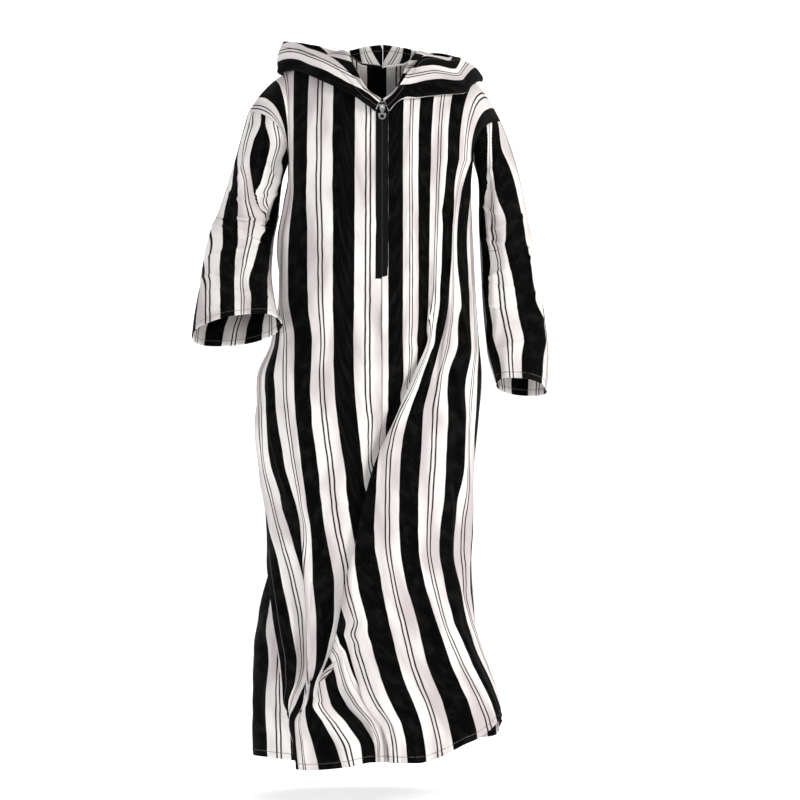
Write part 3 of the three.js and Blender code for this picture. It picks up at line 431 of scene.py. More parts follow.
def panel_point(face, w, level):
    """level is 1 at the top edge, 0 at the underarm and -1 at the hem."""
    w, level = np.broadcast_arrays(np.asarray(w, float), np.asarray(level, float))
    front = face == "front"
    hem = curve(FRONT_HEM if front else BACK_HEM, "w", "z", w)
    z = mix(CHEST_Z, HEM_Z, -level) + (hem - HEM_Z) * ease(SLIT_LEVEL, 1, -level)
    low = (front_point if front else back_point)(w, np.minimum(z, CHEST_Z))
    top = curve(FRONT_NECK if front else BACK_NECK, "w", "angle", np.abs(w)) * np.maximum(level, 0)
    high = yoke_point(w, top if front else 180 - top)
    return np.where((level < 0)[..., None], low, high)


def cloth_width(level):
    return np.where(level > 0, PANEL_CHEST, panel_width(mix(CHEST_Z, HEM_Z, -level)))


# ---------- sleeves and hood ----------
def armhole_point(side, turn):
    turn = np.mod(turn, 360)
    level = np.abs(1 - turn / 180)
    front, back = (panel_point(face, side * PANEL_CHEST, level) for face in ("front", "back"))
    return np.where((turn <= 180)[..., None], front, back)


def sleeve_point(table, side, turn, s):
    """turn is 0 at the outer side, 90 in front, 180 under the arm and 270 behind; s runs to the cuff."""
    turn, s = np.broadcast_arrays(np.asarray(turn, float), np.asarray(s, float))
    x, y, z, half, deep, pitch, roll = (curve(table, "s", name, s)
                                        for name in ("x", "y", "z", "half", "deep", "pitch", "roll"))
    pitch, roll = np.radians(pitch), np.radians(roll)
    outward = np.stack([side * np.cos(roll), 0 * roll, np.sin(roll)], -1)
    forward = np.stack([0 * pitch, -np.cos(pitch), np.sin(pitch)], -1)
    raised = np.zeros_like(s)
    for angle, drift, start, end, wide, height in zip(*SLEEVE_RIDGES.values()):
        place = (s - start) / (end - start)
        off = half_turn(turn - angle - drift * place)
        shown = (place >= 0) & (place <= 1)
        swell = np.sin(math.pi * np.clip(place, 0, RIDGE_TAIL))
        raised += shown * height * swell * np.exp(-(off / wide) ** 2)
    c, f = np.cos(np.radians(turn)), np.sin(np.radians(turn))
    tube = (np.stack([x, y, z], -1) + outward * ((half + raised) * c)[..., None]
            + forward * ((deep + raised) * f)[..., None])
    joined = np.clip(s / SLEEVE_JOIN, 0, 1)
    share = (joined * (2 - joined))[..., None]
    return mix(armhole_point(side, turn), tube, share)


def bed_point(w, angle):
    """The cloth that the hood lies on, over the shoulder and on down the back."""
    low = back_point(w, np.minimum(CHEST_Z, CHEST_Z - HOOD_DROP * (angle - 180)))
    return np.where((angle <= 180)[..., None], yoke_point(w, np.minimum(angle, 180)), low)


def hood_point(table, side, u, v):
    """One line across a hood half at u (0 at the front point, 1 at the centre back); v runs to the rim."""
    w_out, angle_out, rim, puff, lift = (float(curve(table, "u", name, u))
                                         for name in ("wOut", "angleOut", "rim", "puff", "lift"))
    least = HOOD_POINT if u < 0.5 else SEAM_GAP
    neck_w = max(least, (NECK_HALF - 0.5) * math.sin(math.pi * u))
    if u < 0.5:
        neck_angle = float(curve(FRONT_NECK, "w", "angle", neck_w)) + HOOD_FRONT_GAP
    else:
        neck_angle = 180 - float(curve(BACK_NECK, "w", "angle", neck_w)) - HOOD_BACK_GAP
    # past the layers, each line eases to its own rim
    places = [*HOOD_LAYERS["v"], 0.8, 1]
    out = through(places, [*HOOD_LAYERS["out"], mix(1, rim, 0.45), rim], v)
    top = HOOD_LAYERS["height"][-1]
    height = through(places, [*HOOD_LAYERS["height"], mix(top, puff, 0.6), puff], v)
    w = side * np.maximum(SEAM_GAP, mix(neck_w, w_out, out))
    angle = mix(neck_angle, angle_out, out)
    across = bed_point(w + 2, angle) - bed_point(w - 2, angle)
    down = bed_point(w, angle - 1) - bed_point(w, angle + 1)
    up = np.cross(down, across)
    up /= np.linalg.norm(up, axis=-1, keepdims=True)
    point = bed_point(w, angle) + up * height[:, None]
    point[:, 2] += lift * ease(0.6, 1, v)
    return point


# ---------- cloth meshes ----------
def normals_of(grid):
    """Outward for a grid whose rows run down and columns run from the wearer's right to the left."""
    down, across = np.gradient(grid, axis=0), np.gradient(grid, axis=1)
    normal = np.cross(down, across)
    size = np.linalg.norm(normal, axis=-1, keepdims=True)
    return normal / np.where(size == 0, 1, size)

def place_object(name, data):
    made = bpy.data.objects.new(name, data)
    bpy.context.scene.collection.objects.link(made)
    return made


def cloth_piece(name, grid, stripe, along, material, edge_far, shell=WALL):
    """A thin shell from a grid of points in millimetres. "cloth_mm" holds, for each point, its place
    across the bands, its place along them and how far it is from the nearest hem."""
    count_down, count_across = grid.shape[:2]
    data = bpy.data.meshes.new(name)
    index = np.arange(count_down * count_across).reshape(count_down, count_across)
    quads = np.stack([index[:-1, :-1], index[1:, :-1], index[1:, 1:], index[:-1, 1:]], -1).reshape(-1, 4)
    data.from_pydata((grid.reshape(-1, 3) * MM).tolist(), [], quads.tolist())
    places = data.attributes.new("cloth_mm", "FLOAT_VECTOR", "POINT")
    parts = [np.broadcast_to(part, grid.shape[:2]).reshape(-1) for part in (stripe, along, edge_far)]
    places.data.foreach_set("vector", np.stack(parts, -1).astype(np.float32).reshape(-1))
    data.shade_smooth()
    data.materials.append(material)
    piece = place_object(name, data)
    solid = piece.modifiers.new("shell", "SOLIDIFY")
    solid.thickness = shell * MM
    solid.offset = -1
    solid.use_even_offset = False
    return piece


def lengths(grid, axis=0):
    """How far along the cloth each point lies from the first row, or from the first column."""
    step = np.linalg.norm(np.diff(grid, axis=axis), axis=-1)
    return np.insert(np.cumsum(step, axis), 0, 0, axis)


YOKE_LINES = 40
SKIRT_LINES = 236
FRONT_LINES = 150
BACK_LINES = 170


def panel_grid(face, start, end, count):
    """start and end are shares of the half width, from -1 at the wearer's right to 1 at the left."""
    levels = np.concatenate([np.linspace(1, 0, YOKE_LINES, endpoint=False), np.linspace(0, -1, SKIRT_LINES)])
    edge = cloth_width(levels)[:, None]
    share = np.linspace(0, 1, count)[None, :]
    w = mix(start * edge + 0.5 * SEAM_GAP, end * edge - 0.5 * SEAM_GAP, share)
    level = np.broadcast_to(levels[:, None], w.shape)
    return w, level, panel_point(face, w, level)


# ---------- materials ----------
def linear(code):
    """An sRGB hex colour as linear RGBA."""
    parts = [int(code[i:i + 2], 16) / 255 for i in (0, 2, 4)]
    return (*(p / 12.92 if p <= 0.04045 else ((p + 0.055) / 1.055) ** 2.4 for p in parts), 1)


def add(tree, kind, sockets=None, **settings):
    """Adds a node. Each of its sockets, by name or number, gets a link, a hex colour or a value."""
    node = tree.nodes.new("ShaderNode" + kind)
    for name, setting in settings.items():
        setattr(node, name, setting)
    for socket, given in (sockets or {}).items():
        if isinstance(given, bpy.types.NodeSocket):
            tree.links.new(given, node.inputs[socket])
        else:
            node.inputs[socket].default_value = linear(given) if isinstance(given, str) else given
    return node


def new_material(name):
    made = bpy.data.materials.new(name)
    made.use_nodes = True
    made.node_tree.nodes.clear()
    return made, made.node_tree


WAVES_A_UNIT = 3.2        # the wave texture's own count at a scale of 1


def brushed_cotton(name):
    """Brushed cotton twill, woven in bands: a matt, hairy face that catches light at its edges."""
    made, tree = new_material(name)
    cloth_mm = add(tree, "Attribute", attribute_name="cloth_mm").outputs["Vector"]
    places = add(tree, "Mapping", {"Vector": cloth_mm, "Scale": (1, 1, 0)}).outputs[0]

    # the bands' edges wander by about a millimetre
    hand = add(tree, "TexNoise", {"Vector": places, "Scale": 1 / 38, "Detail": 1}).outputs[0]
    off = add(tree, "Math", {0: hand, 1: 2.4, 2: -1.2}, operation="MULTIPLY_ADD").outputs[0]
    across = add(tree, "SeparateXYZ", {0: places}).outputs["X"]
    wandering = add(tree, "Math", {0: across, 1: off}, operation="ADD").outputs[0]
    from_black = add(tree, "Math", {0: wandering, 1: STRIPE / 2}, operation="PINGPONG").outputs[0]
    from_white = add(tree, "Math", {0: STRIPE / 2, 1: from_black}, operation="SUBTRACT").outputs[0]
    past_line = add(tree, "Math", {0: from_white, 1: LINE_OFF}, operation="SUBTRACT").outputs[0]
    from_line = add(tree, "Math", {0: past_line}, operation="ABSOLUTE").outputs[0]

    # one row of lockstitch holds each hem
    x, y, hem_far = add(tree, "SeparateXYZ", {0: cloth_mm}).outputs
    along_hem = add(tree, "Math", {0: x, 1: y}, operation="ADD").outputs[0]
    from_stitch = add(tree, "Math", {0: along_hem, 1: STITCH / 2}, operation="PINGPONG").outputs[0]
    past_row = add(tree, "Math", {0: hem_far, 1: HEM_TURN}, operation="SUBTRACT").outputs[0]
    from_row = add(tree, "Math", {0: past_row}, operation="ABSOLUTE").outputs[0]

    # each is 1 inside its edge and 0 outside it, with a soft border, in millimetres
    black, line, row, stitch = (
        add(tree, "MapRange", {0: distance, 1: edge - soft, 2: edge + soft, 3: 1, 4: 0},
            interpolation_type="SMOOTHSTEP").outputs[0]
        for distance, edge, soft in (
            (from_black, BLACK_HALF, 0.5), (from_line, LINE_HALF, 0.45),
            (from_row, 0.6, 0.3), (from_stitch, STITCH * 0.36, 0.3),
        )
    )
    thread = add(tree, "Math", {0: row, 1: stitch}, operation="MULTIPLY").outputs[0]

    # the nap lies in patches some 25 mm across, so the black turns charcoal and back
    patches = add(tree, "TexNoise", {"Vector": places, "Scale": 1 / 26, "Detail": 3, "Roughness": 0.62})
    patch = add(tree, "MapRange", {0: patches.outputs[0], 1: 0.42, 2: 0.7}, interpolation_type="SMOOTHSTEP")
    charcoal = add(tree, "Mix", {0: patch.outputs[0], 6: "020202", 7: "141312"}, data_type="RGBA").outputs[2]
    # painted shade: the white turns a pinkish grey in long random patches that follow the bands
    drawn_out = add(tree, "Mapping", {"Vector": places, "Scale": (1 / 60, 1 / 190, 0)}).outputs[0]
    painted_shade_noise = add(tree, "TexNoise", {"Vector": drawn_out, "Scale": 1, "Detail": 2})
    painted_shade = add(tree, "MapRange", {0: painted_shade_noise.outputs[0], 1: 0.36, 2: 0.66}, interpolation_type="SMOOTHSTEP")
    colour = add(tree, "Mix", {0: painted_shade.outputs[0], 6: "F6F4F0", 7: "C9C0C1"}, data_type="RGBA").outputs[2]
    for share, over in ((line, "262223"), (black, charcoal), (thread, "5F5A58")):
        colour = add(tree, "Mix", {0: share, 6: colour, 7: over}, data_type="RGBA").outputs[2]

    # twill ribs run slantwise, drawn at 2.4 mm because the true 0.6 mm is too fine to show
    slant = math.radians(62)
    turned = add(tree, "VectorRotate", {0: places, "Angle": slant}, rotation_type="Z_AXIS").outputs[0]
    rib = 1 / 2.4 / WAVES_A_UNIT
    twill = add(tree, "TexWave", {0: turned, "Scale": rib, "Distortion": 0.6, "Detail": 1}).outputs["Fac"]
    nap = add(tree, "TexNoise", {"Vector": places, "Scale": 1 / 3.2, "Detail": 4, "Roughness": 0.7})
    brushed = add(tree, "Math", {0: twill, 1: 0.35, 2: nap.outputs[0]}, operation="MULTIPLY_ADD").outputs[0]
    face = add(tree, "Math", {0: thread, 1: brushed}, operation="ADD").outputs[0]
    bump = add(tree, "Bump", {"Height": face, "Strength": 0.32, "Distance": 0.0007}).outputs[0]
    shader = add(tree, "BsdfPrincipled", {
        "Base Color": colour, "Normal": bump, "Roughness": 0.88, "Sheen Weight": 0.01,
        "Sheen Roughness": 0.45, "Specular IOR Level": 0.06,
    })
    add(tree, "OutputMaterial", {0: shader.outputs[0]})
    return made


striped_cloth = brushed_cotton("striped_brushed_cotton")
cloth_pieces = {}


def hang_cloth(name, grid, places, hem_far):
    """A piece of striped cloth, kept under the name of the solid that it replaces."""
    cloth_pieces[name] = cloth_piece(name + "_cloth", grid, places, lengths(grid), striped_cloth, hem_far)


# ---------- creases ----------
# Small creases of the fronts: where each starts and ends on the cloth, half its width, its height,
# and how much steeper its side towards the centre line is.
FRONT_CREASES = rows(
    "wTop zTop wEnd zEnd half height lean",
    [178, -420, 128, -640, 13, 8, 0.5], [214, -450, 196, -700, 12, 8, 0.4],
    [246, -430, 262, -690, 11, 7, 0.5], [272, -380, 318, -640, 12, 8, 0.5],
    [196, -250, 206, -500, 10, -7, 0.3], [238, -230, 226, -470, 13, 7, 0.4],
    [150, -470, 196, -560, 9, 5, 0.5], [288, -500, 330, -900, 14, 9, 0.4],
    [340, -620, 336, -1010, 12, 9, 0.5], [310, -760, 338, -1120, 11, -6, 0.4],
    [-246, -520, -262, -900, 16, 8, 0.5], [-318, -600, -330, -1180, 13, 8, 0.4],
    [-168, -620, -176, -1080, 22, 5, 0.6], [-96, -760, -112, -1150, 20, 6, 0.5],
    [-30, -1090, -128, -1200, 8, 9, 0.4], [6, -1130, -60, -1390, 9, 8, 0.5],
    [34, -1110, 36, -1395, 8, -8, 0.5], [58, -1190, 62, -1395, 7, 7, 0.5],
    [-66, -1210, -26, -1395, 12, -7, 0.5], [-140, -1220, -128, -1395, 12, 8, 0.5],
    [-206, -1180, -196, -1395, 10, 6, 0.5], [84, -1060, 96, -1340, 15, 6, 0.5],
    [150, -900, 158, -1395, 18, 6, 0.6], [230, -1020, 236, -1395, 16, 7, 0.5],
    [292, -1000, 300, -1330, 15, 7, 0.5], [-250, -205, -236, -420, 12, 7, 0.5],
    [-150, -210, -158, -560, 22, 4, 0.6], [68, -230, 74, -440, 20, 4, 0.6],
)
BACK_CREASES = rows(
    "wTop zTop wEnd zEnd half height lean",
    [-262, -230, -236, -560, 16, 8, 0.5], [-170, -260, -214, -700, 20, 7, 0.5],
    [-58, -330, -84, -900, 22, 6, 0.6], [52, -330, 60, -860, 22, 6, 0.5],
    [168, -250, 196, -760, 20, 8, 0.5], [258, -230, 276, -640, 16, 9, 0.5],
    [-320, -640, -330, -1220, 16, 9, 0.5], [322, -560, 330, -1200, 16, 9, 0.5],
    [-180, -860, -206, -1395, 20, 8, 0.5], [-40, -960, -36, -1395, 18, 7, 0.5],
    [150, -900, 176, -1395, 20, 8, 0.5], [-300, -1100, -306, -1395, 14, 7, 0.5],
)
# Creases of a sleeve: turn round it and place along it where each starts and ends, half its width
# in degrees, height in millimetres and lean.
RIGHT_SLEEVE_CREASES = rows(
    "turnTop sTop turnEnd sEnd half height lean",
    [152, 0.06, 112, 0.44, 12, 9, 0.4], [174, 0.08, 133, 0.5, 7, -8, 0.6],
    [86, 0.04, 92, 0.36, 9, -6, 0.6], [118, 0.4, 152, 0.72, 9, 6, 0.4],
    [60, 0.05, 48, 0.5, 11, 5, 0.5], [104, 0.52, 96, 0.86, 9, 5, 0.5],
    [30, 0.3, 22, 0.9, 12, 5, 0.5], [140, 0.6, 122, 0.98, 10, 6, 0.4],
    [220, 0.1, 246, 0.7, 16, 7, 0.5], [290, 0.1, 306, 0.8, 18, 7, 0.5],
    [332, 0.3, 340, 0.95, 14, 5, 0.5],
)
LEFT_SLEEVE_CREASES = rows(
    "turnTop sTop turnEnd sEnd half height lean",
    [128, 0.06, 118, 0.5, 11, 7, 0.4], [150, 0.1, 140, 0.62, 9, -7, 0.6],
    [96, 0.1, 100, 0.7, 12, 5, 0.5], [60, 0.08, 52, 0.46, 12, 4, 0.6],
    [112, 0.5, 132, 0.95, 10, 6, 0.5], [76, 0.6, 66, 0.98, 13, 4, 0.5],
    [40, 0.4, 34, 1.0, 12, 5, 0.5], [214, 0.12, 236, 0.8, 16, 7, 0.5],
    [286, 0.1, 300, 0.85, 18, 7, 0.5], [330, 0.3, 336, 0.95, 14, 5, 0.5],
)
# Short creases that run round a sleeve: middle, half-length in degrees, half-width along it, height
# and how far they rise along it over 90 degrees.
CROSS_CREASES = rows(
    "turn s reach half height tilt",
    [70, 0.33, 46, 0.014, 4, 0.05], [96, 0.42, 50, 0.016, 4.5, -0.06], [64, 0.5, 40, 0.014, 4, 0.04],
    [118, 0.56, 40, 0.014, 4, 0.08], [80, 0.64, 44, 0.016, 3.5, -0.05], [58, 0.78, 38, 0.015, 3, 0.05],
    [126, 0.26, 36, 0.014, 4, -0.09], [110, 0.14, 42, 0.014, 3.5, 0.09], [96, 0.88, 44, 0.014, 3, 0.04],
    [250, 0.4, 60, 0.018, 4, 0.06], [262, 0.55, 60, 0.018, 4, -0.05],
)
# The cloth's own uneven hand: long soft swells, with shorter slanting ones over them.
RUMPLES = rows(
    "height wide long slantAcross slantDown seed",
    [3, 70, 260, 0, 0, 0], [1.7, 44, 120, 0.35, -0.5, 5], [0.8, 18, 60, -0.5, 0.6, 9],
)
# Creases wander to each side of their line, and grow and die out over these shares of their length.
PANEL_WANDER, PANEL_TURN = 7, 90         # millimetres to a side, and between turns
PANEL_GROWS, PANEL_DIES = (0, 0.3), (0.78, 1.12)
SLEEVE_WANDER, SLEEVE_TURNS = 4, 9       # degrees to a side, and turns in the sleeve's length
SLEEVE_GROWS, SLEEVE_DIES = (0, 0.25), (0.75, 1.05)
CROSS_LEAN = 0.5          # of the short creases round a sleeve
# Small creases fade out before a large fold's cloth goes under, come back past its edge, and fade
# only as far as the fold has grown, all in millimetres.
FADE_BEFORE, FADE_PAST, FADE_GROWN = (-34, -6), (14, 40), (1, 12)
PULL_WIDE = 2.2           # the groove that a row of stitches makes
HEM_PULL = 1.0            # and its depth
CUFF_PULL = 0.9


def crease_profile(across, lean):
    """A soft rounded crease, steeper on one side."""
    steep = np.where(across < 0, lean, 1)
    return np.exp(-(across / steep) ** 2)


def creases_on_panel(table, w, z):
    total = np.zeros_like(w)
    for i in range(len(table["half"])):
        along = (table["zTop"][i] - z) / (table["zTop"][i] - table["zEnd"][i])
        wander = PANEL_WANDER * cell_noise(z / PANEL_TURN, i + 1.0)
        middle = mix(table["wTop"][i], table["wEnd"][i], along) + wander
        shown = ease(*PANEL_GROWS, along) * (1 - ease(*PANEL_DIES, along))
        profile = crease_profile((w - middle) / table["half"][i], table["lean"][i])
        total += table["height"][i] * shown * profile
    return total


def creases_on_sleeve(table, turn, s):
    total = np.zeros_like(turn)
    for i in range(len(table["half"])):
        along = (s - table["sTop"][i]) / (table["sEnd"][i] - table["sTop"][i])
        wander = SLEEVE_WANDER * cell_noise(s * SLEEVE_TURNS, i + 3.0)
        middle = mix(table["turnTop"][i], table["turnEnd"][i], along) + wander
        shown = ease(*SLEEVE_GROWS, along) * (1 - ease(*SLEEVE_DIES, along))
        profile = crease_profile(half_turn(turn - middle) / table["half"][i], table["lean"][i])
        total += table["height"][i] * shown * profile
    for middle, place, reach, half, height, tilt in zip(*CROSS_CREASES.values()):
        off = half_turn(turn - middle)
        bend = (s - place - tilt * off / 90) / half
        total += height * np.exp(-(off / reach) ** 2) * crease_profile(bend, CROSS_LEAN)
    return total


def rumple(across, down, seed, size):
    total = 0
    for height, wide, long, slant_across, slant_down, apart in zip(*RUMPLES.values()):
        sideways, lengthways = across + slant_across * down, down + slant_down * across
        total = total + height * uneven(sideways / wide, lengthways / long, seed + apart)
    return size * total


def off_the_folds(w, z):
    """1 away from the large folds, 0 where the cloth doubles back."""
    clear = np.ones_like(w)
    for table in (HIP_FOLD, KNEE_FOLD):
        under, over = curve(table, "z", "under", z), curve(table, "z", "over", z)
        inside = ease(*FADE_BEFORE, w - under) * (1 - ease(*FADE_PAST, w - over))
        clear = clear * (1 - inside * ease(*FADE_GROWN, over - under))
    return clear


def stitch_pull(hem_far, depth):
    return depth * np.exp(-((hem_far - HEM_TURN) / PULL_WIDE) ** 2)


def raise_cloth(grid, height):
    return grid + normals_of(grid) * height[..., None]


# ---------- body panels ----------
RIGHT_BLACK = -72.5       # centre of a black band on each panel
LEFT_BLACK = 32.5
BACK_BLACK = -12.5
ARMHOLE_BAND = 276        # the outermost white band starts here, and its thin lines lie further in
SHOULDER_SHIFT = 11
SIDE_TURN = 308           # past this the left front turns away to the side
SEAM_CALM = (2, 26)       # small creases fade out over this much cloth at the side seams
TOP_CALM = (1, 0.86)      # levels between which they fade out at a panel's upper edge
CENTRE_CALM = (0, 18)     # the same at the front's centre seam, above the level on the next line
CENTRE_CALM_LEVEL = -0.2
RUMPLE_TOP, RUMPLE_LOW = 0.5, 1.4   # how strong the rumples are at the chest and further down


def body_panel(name, face, start, end, count, black_at, creases):
    w, level, grid = panel_grid(face, start, end, count)
    edge = cloth_width(level)
    z = grid[..., 2]
    # creases die out at the seams, so that panels keep meeting
    calm = ease(*SEAM_CALM, edge - np.abs(w)) * ease(*TOP_CALM, level)
    if face == "front":
        high = (level > CENTRE_CALM_LEVEL) * 1.0
        calm = calm * mix(1, ease(*CENTRE_CALM, np.abs(w)), high) * off_the_folds(w, z)
    strength = mix(RUMPLE_TOP, RUMPLE_LOW, ease(0, -0.5, level))
    height = calm * (creases_on_panel(creases, w, z) + rumple(w, z, black_at, strength))
    hem_far = lengths(grid)[-1:] - lengths(grid)
    height = height - stitch_pull(hem_far, HEM_PULL)
    slit_far = np.where(level < -SLIT_LEVEL, edge - np.abs(w), NO_HEM)
    hem_far = np.minimum(hem_far, slit_far)
    grid = raise_cloth(grid, height)
    places = w - black_at
    if name == "front_left":
        # the bands keep their width where the cloth turns away to the side
        around = lengths(grid, axis=1)
        turned = np.stack([far - np.interp(SIDE_TURN, row, far) for row, far in zip(w, around)])
        places = places + ease(0, -0.15, level) * np.where(w > SIDE_TURN, turned - (w - SIDE_TURN), 0)
    outermost = ease(ARMHOLE_BAND, PANEL_CHEST, np.abs(w)) * ease(-0.05, 0.2, level)
    places = places + np.sign(w) * SHOULDER_SHIFT * outermost
    if face == "back":
        grid, places, hem_far = (part[:, ::-1] for part in (grid, places, hem_far))
    hang_cloth(name, grid, places, hem_far)


body_panel("front_right", "front", -1, 0, FRONT_LINES, RIGHT_BLACK, FRONT_CREASES)
body_panel("front_left", "front", 0, 1, FRONT_LINES, LEFT_BLACK, FRONT_CREASES)
body_panel("back", "back", -1, 1, BACK_LINES, BACK_BLACK, BACK_CREASES)

# ---------- sleeves ----------
# Where the edges of the black bands cross the front of each sleeve, from its outer side inwards.
RIGHT_UPPER_BANDS = rows(
    "z outerA innerA outerB innerB outerC innerC",
    [-118, -292, -284, -241, -233, -192, -178], [-157, -296, -290, -255, -223, -190, -178],
    [-196, -296, -288, -263, -231, -202, -186], [-235, -298, -284, -259, -241, -206, -192],
    [-255, -304, -286, -253, -250, -214, -196], [-274, -310, -286, -248, -247, -221, -202],
    [-314, -316, -286, -232, -231, -228, -206], [-353, -316, -286, -246, -245, -243, -214],
)
# a crease takes in one black and one white band from here to the cuff
RIGHT_LOWER_BANDS = rows(
    "z outerA innerA outerC innerC",
    [-274, -310, -286, -221, -202], [-314, -316, -286, -230, -206], [-353, -316, -286, -244, -214],
    [-392, -321, -290, -252, -221], [-431, -319, -290, -262, -225], [-470, -317, -288, -256, -224],
    [-510, -316, -287, -256, -223],
)
CREASE_TAKES_IN = 0.45    # how far down the sleeve that is
LEFT_BANDS = rows(
    "z outerA innerA outerB innerB",
    [-118, 231, 218, 208, 180], [-157, 234, 216, 210, 180], [-196, 248, 218, 210, 180],
    [-235, 261, 223, 212, 184], [-274, 270, 233, 208, 186], [-314, 278, 245, 202, 190],
    [-353, 284, 245, 210, 198], [-392, 292, 251, 216, 200], [-431, 298, 259, 214, 200],
    [-470, 304, 265, 212, 204], [-510, 316, 272, 218, 208], [-549, 319, 280, 225, 198],
    [-588, 317, 275, 233, 210], [-640, 316, 276, 237, 212],
)
SLEEVE_LINES = 120
SLEEVE_ROUND = 132
SLEEVE_SEAM = 179.8       # degrees from the outer side to the seam under the arm
SLEEVE_LONG = 600         # length that its rumples are spread over
SLEEVE_CALM = (2, 16)     # degrees from the seam over which small creases fade out
SLEEVE_TOP_CALM = (0, 0.09)   # shares of its length
SLEEVE_RUMPLE = 0.7
SLEEVE_SEED = 20
FRONT_FROM = 24           # degrees between which the bands follow the table
FRONT_TO = 156
ROUND_RATE = 1.1          # past them, band places to a millimetre of cloth
LEAST_BAND = 0.4          # a band is drawn at least this wide


def band_places(grid, turn, side, table):
    names = list(table)[1:]
    values = [(k // 2) * STRIPE + (BLACK_HALF if k % 2 else -BLACK_HALF) for k in range(len(names))]
    edges = [-side * curve(table, "z", name, grid[..., 2]) for name in names]
    inward = -side * grid[..., 0]
    places = values[0] + np.minimum(inward - edges[0], 0) + np.maximum(inward - edges[-1], 0)
    for k in range(len(names) - 1):
        wide = np.maximum(edges[k + 1] - edges[k], LEAST_BAND)
        places = places + np.clip((inward - edges[k]) / wide, 0, 1) * (values[k + 1] - values[k])
    round_it = lengths(grid, axis=1)
    first, last = (int(np.argmin(np.abs(turn[0] - at))) for at in (FRONT_FROM, FRONT_TO))
    before, after = (places[:, at:at + 1] + (round_it - round_it[:, at:at + 1]) * ROUND_RATE
                     for at in (first, last))
    column = np.arange(grid.shape[1])[None, :]
    return np.where(column < first, before, np.where(column > last, after, places))


def sleeve(name, table, side, bands, lower_bands, creases):
    upper = int(CREASE_TAKES_IN * SLEEVE_LINES)
    # two rows lie almost at one place there, so that the bands change between them
    s = np.concatenate([np.linspace(0, CREASE_TAKES_IN, upper),
                        np.linspace(CREASE_TAKES_IN + 0.00001, 1, SLEEVE_LINES - upper)])[:, None]
    s, turn = np.broadcast_arrays(s, np.linspace(-SLEEVE_SEAM, SLEEVE_SEAM, SLEEVE_ROUND)[None, :])
    grid = sleeve_point(table, side, np.mod(turn, 360), s)
    calm = ease(*SLEEVE_TOP_CALM, s) * ease(*SLEEVE_CALM, 180 - np.abs(turn))
    around = np.radians(turn) * SLEEVE_RADIUS
    rumpled = rumple(around, s * SLEEVE_LONG, SLEEVE_SEED + side, SLEEVE_RUMPLE)
    height = calm * (creases_on_sleeve(creases, turn, s) + rumpled)
    cuff_far = lengths(grid)[-1:] - lengths(grid)
    height = height - stitch_pull(cuff_far, CUFF_PULL)
    places = np.concatenate([band_places(grid[:upper], turn, side, bands),
                             band_places(grid[upper:], turn, side, lower_bands)])
    if side > 0:
        grid, places, height, cuff_far = (part[:, ::-1] for part in (grid, places, height, cuff_far))
    hang_cloth(name, raise_cloth(grid, height), places, cuff_far)


sleeve("sleeve_right", SLEEVE_RIGHT, -1, RIGHT_UPPER_BANDS, RIGHT_LOWER_BANDS, RIGHT_SLEEVE_CREASES)
sleeve("sleeve_left", SLEEVE_LEFT, 1, LEFT_BANDS, LEFT_BANDS, LEFT_SLEEVE_CREASES)

# ---------- hood ----------
HOOD_COUNT = 96
HOOD_ROLLED = 1.5         # how many times narrower the bands are drawn in front
HOOD_WIDE, HOOD_LONG = 520, 400    # size that a half's rumples are spread over
HOOD_RUMPLE = 0.8
HOOD_SEED = 40
HOOD_SWELLS = rows(
    "u v reachU reachV height",
    [0.2, 0.7, 0.05, 0.2, 3], [0.34, 0.66, 0.05, 0.2, -4], [0.48, 0.7, 0.05, 0.22, 4],
    [0.62, 0.74, 0.06, 0.2, -4], [0.74, 0.78, 0.05, 0.2, 4], [0.86, 0.7, 0.05, 0.25, -4],
)
HOOD_BLACK_RIGHT = 16     # along the cloth from the half's outer edge to the centre of a black band
HOOD_BLACK_LEFT = 30


def hood_half(name, table, side, black_at, neck_place):
    u = v = np.linspace(0, 1, HOOD_COUNT)
    grid = np.stack([hood_point(table, side, at, v) for at in u], 1)
    u, v = np.meshgrid(u, v)
    height = rumple(u * HOOD_WIDE, v * HOOD_LONG, HOOD_SEED + side, HOOD_RUMPLE)
    for mid_u, mid_v, reach_u, reach_v, swell in zip(*HOOD_SWELLS.values()):
        height = height + swell * np.exp(-((u - mid_u) / reach_u) ** 2 - ((v - mid_v) / reach_v) ** 2)
    # calm at the front point, the centre back and the neck
    height = height * ease(0.0, 0.06, u) * (1 - ease(0.94, 1, u)) * ease(0.5, 0.62, v)
    along = lengths(grid)
    outer = along[[HOOD_COUNT // 2]]
    # in front a worn hood rolls up: the roll isn't built, and the bands are drawn narrower for it
    places = (along - outer) * mix(HOOD_ROLLED, 1, ease(0.6, 0.86, u)) - black_at
    places = mix(neck_place, places, ease(0.05, 0.12, v))
    rim_far = along[-1:] - along
    if side < 0:
        grid, places, height, rim_far = (part[:, ::-1] for part in (grid, places, height, rim_far))
    hang_cloth(name, raise_cloth(grid, height), places, rim_far)


hood_half("hood_right", HOOD_RIGHT, -1, HOOD_BLACK_RIGHT, 0)
hood_half("hood_left", HOOD_LEFT, 1, HOOD_BLACK_LEFT, STRIPE / 2 - HOOD_BLACK_RIGHT)

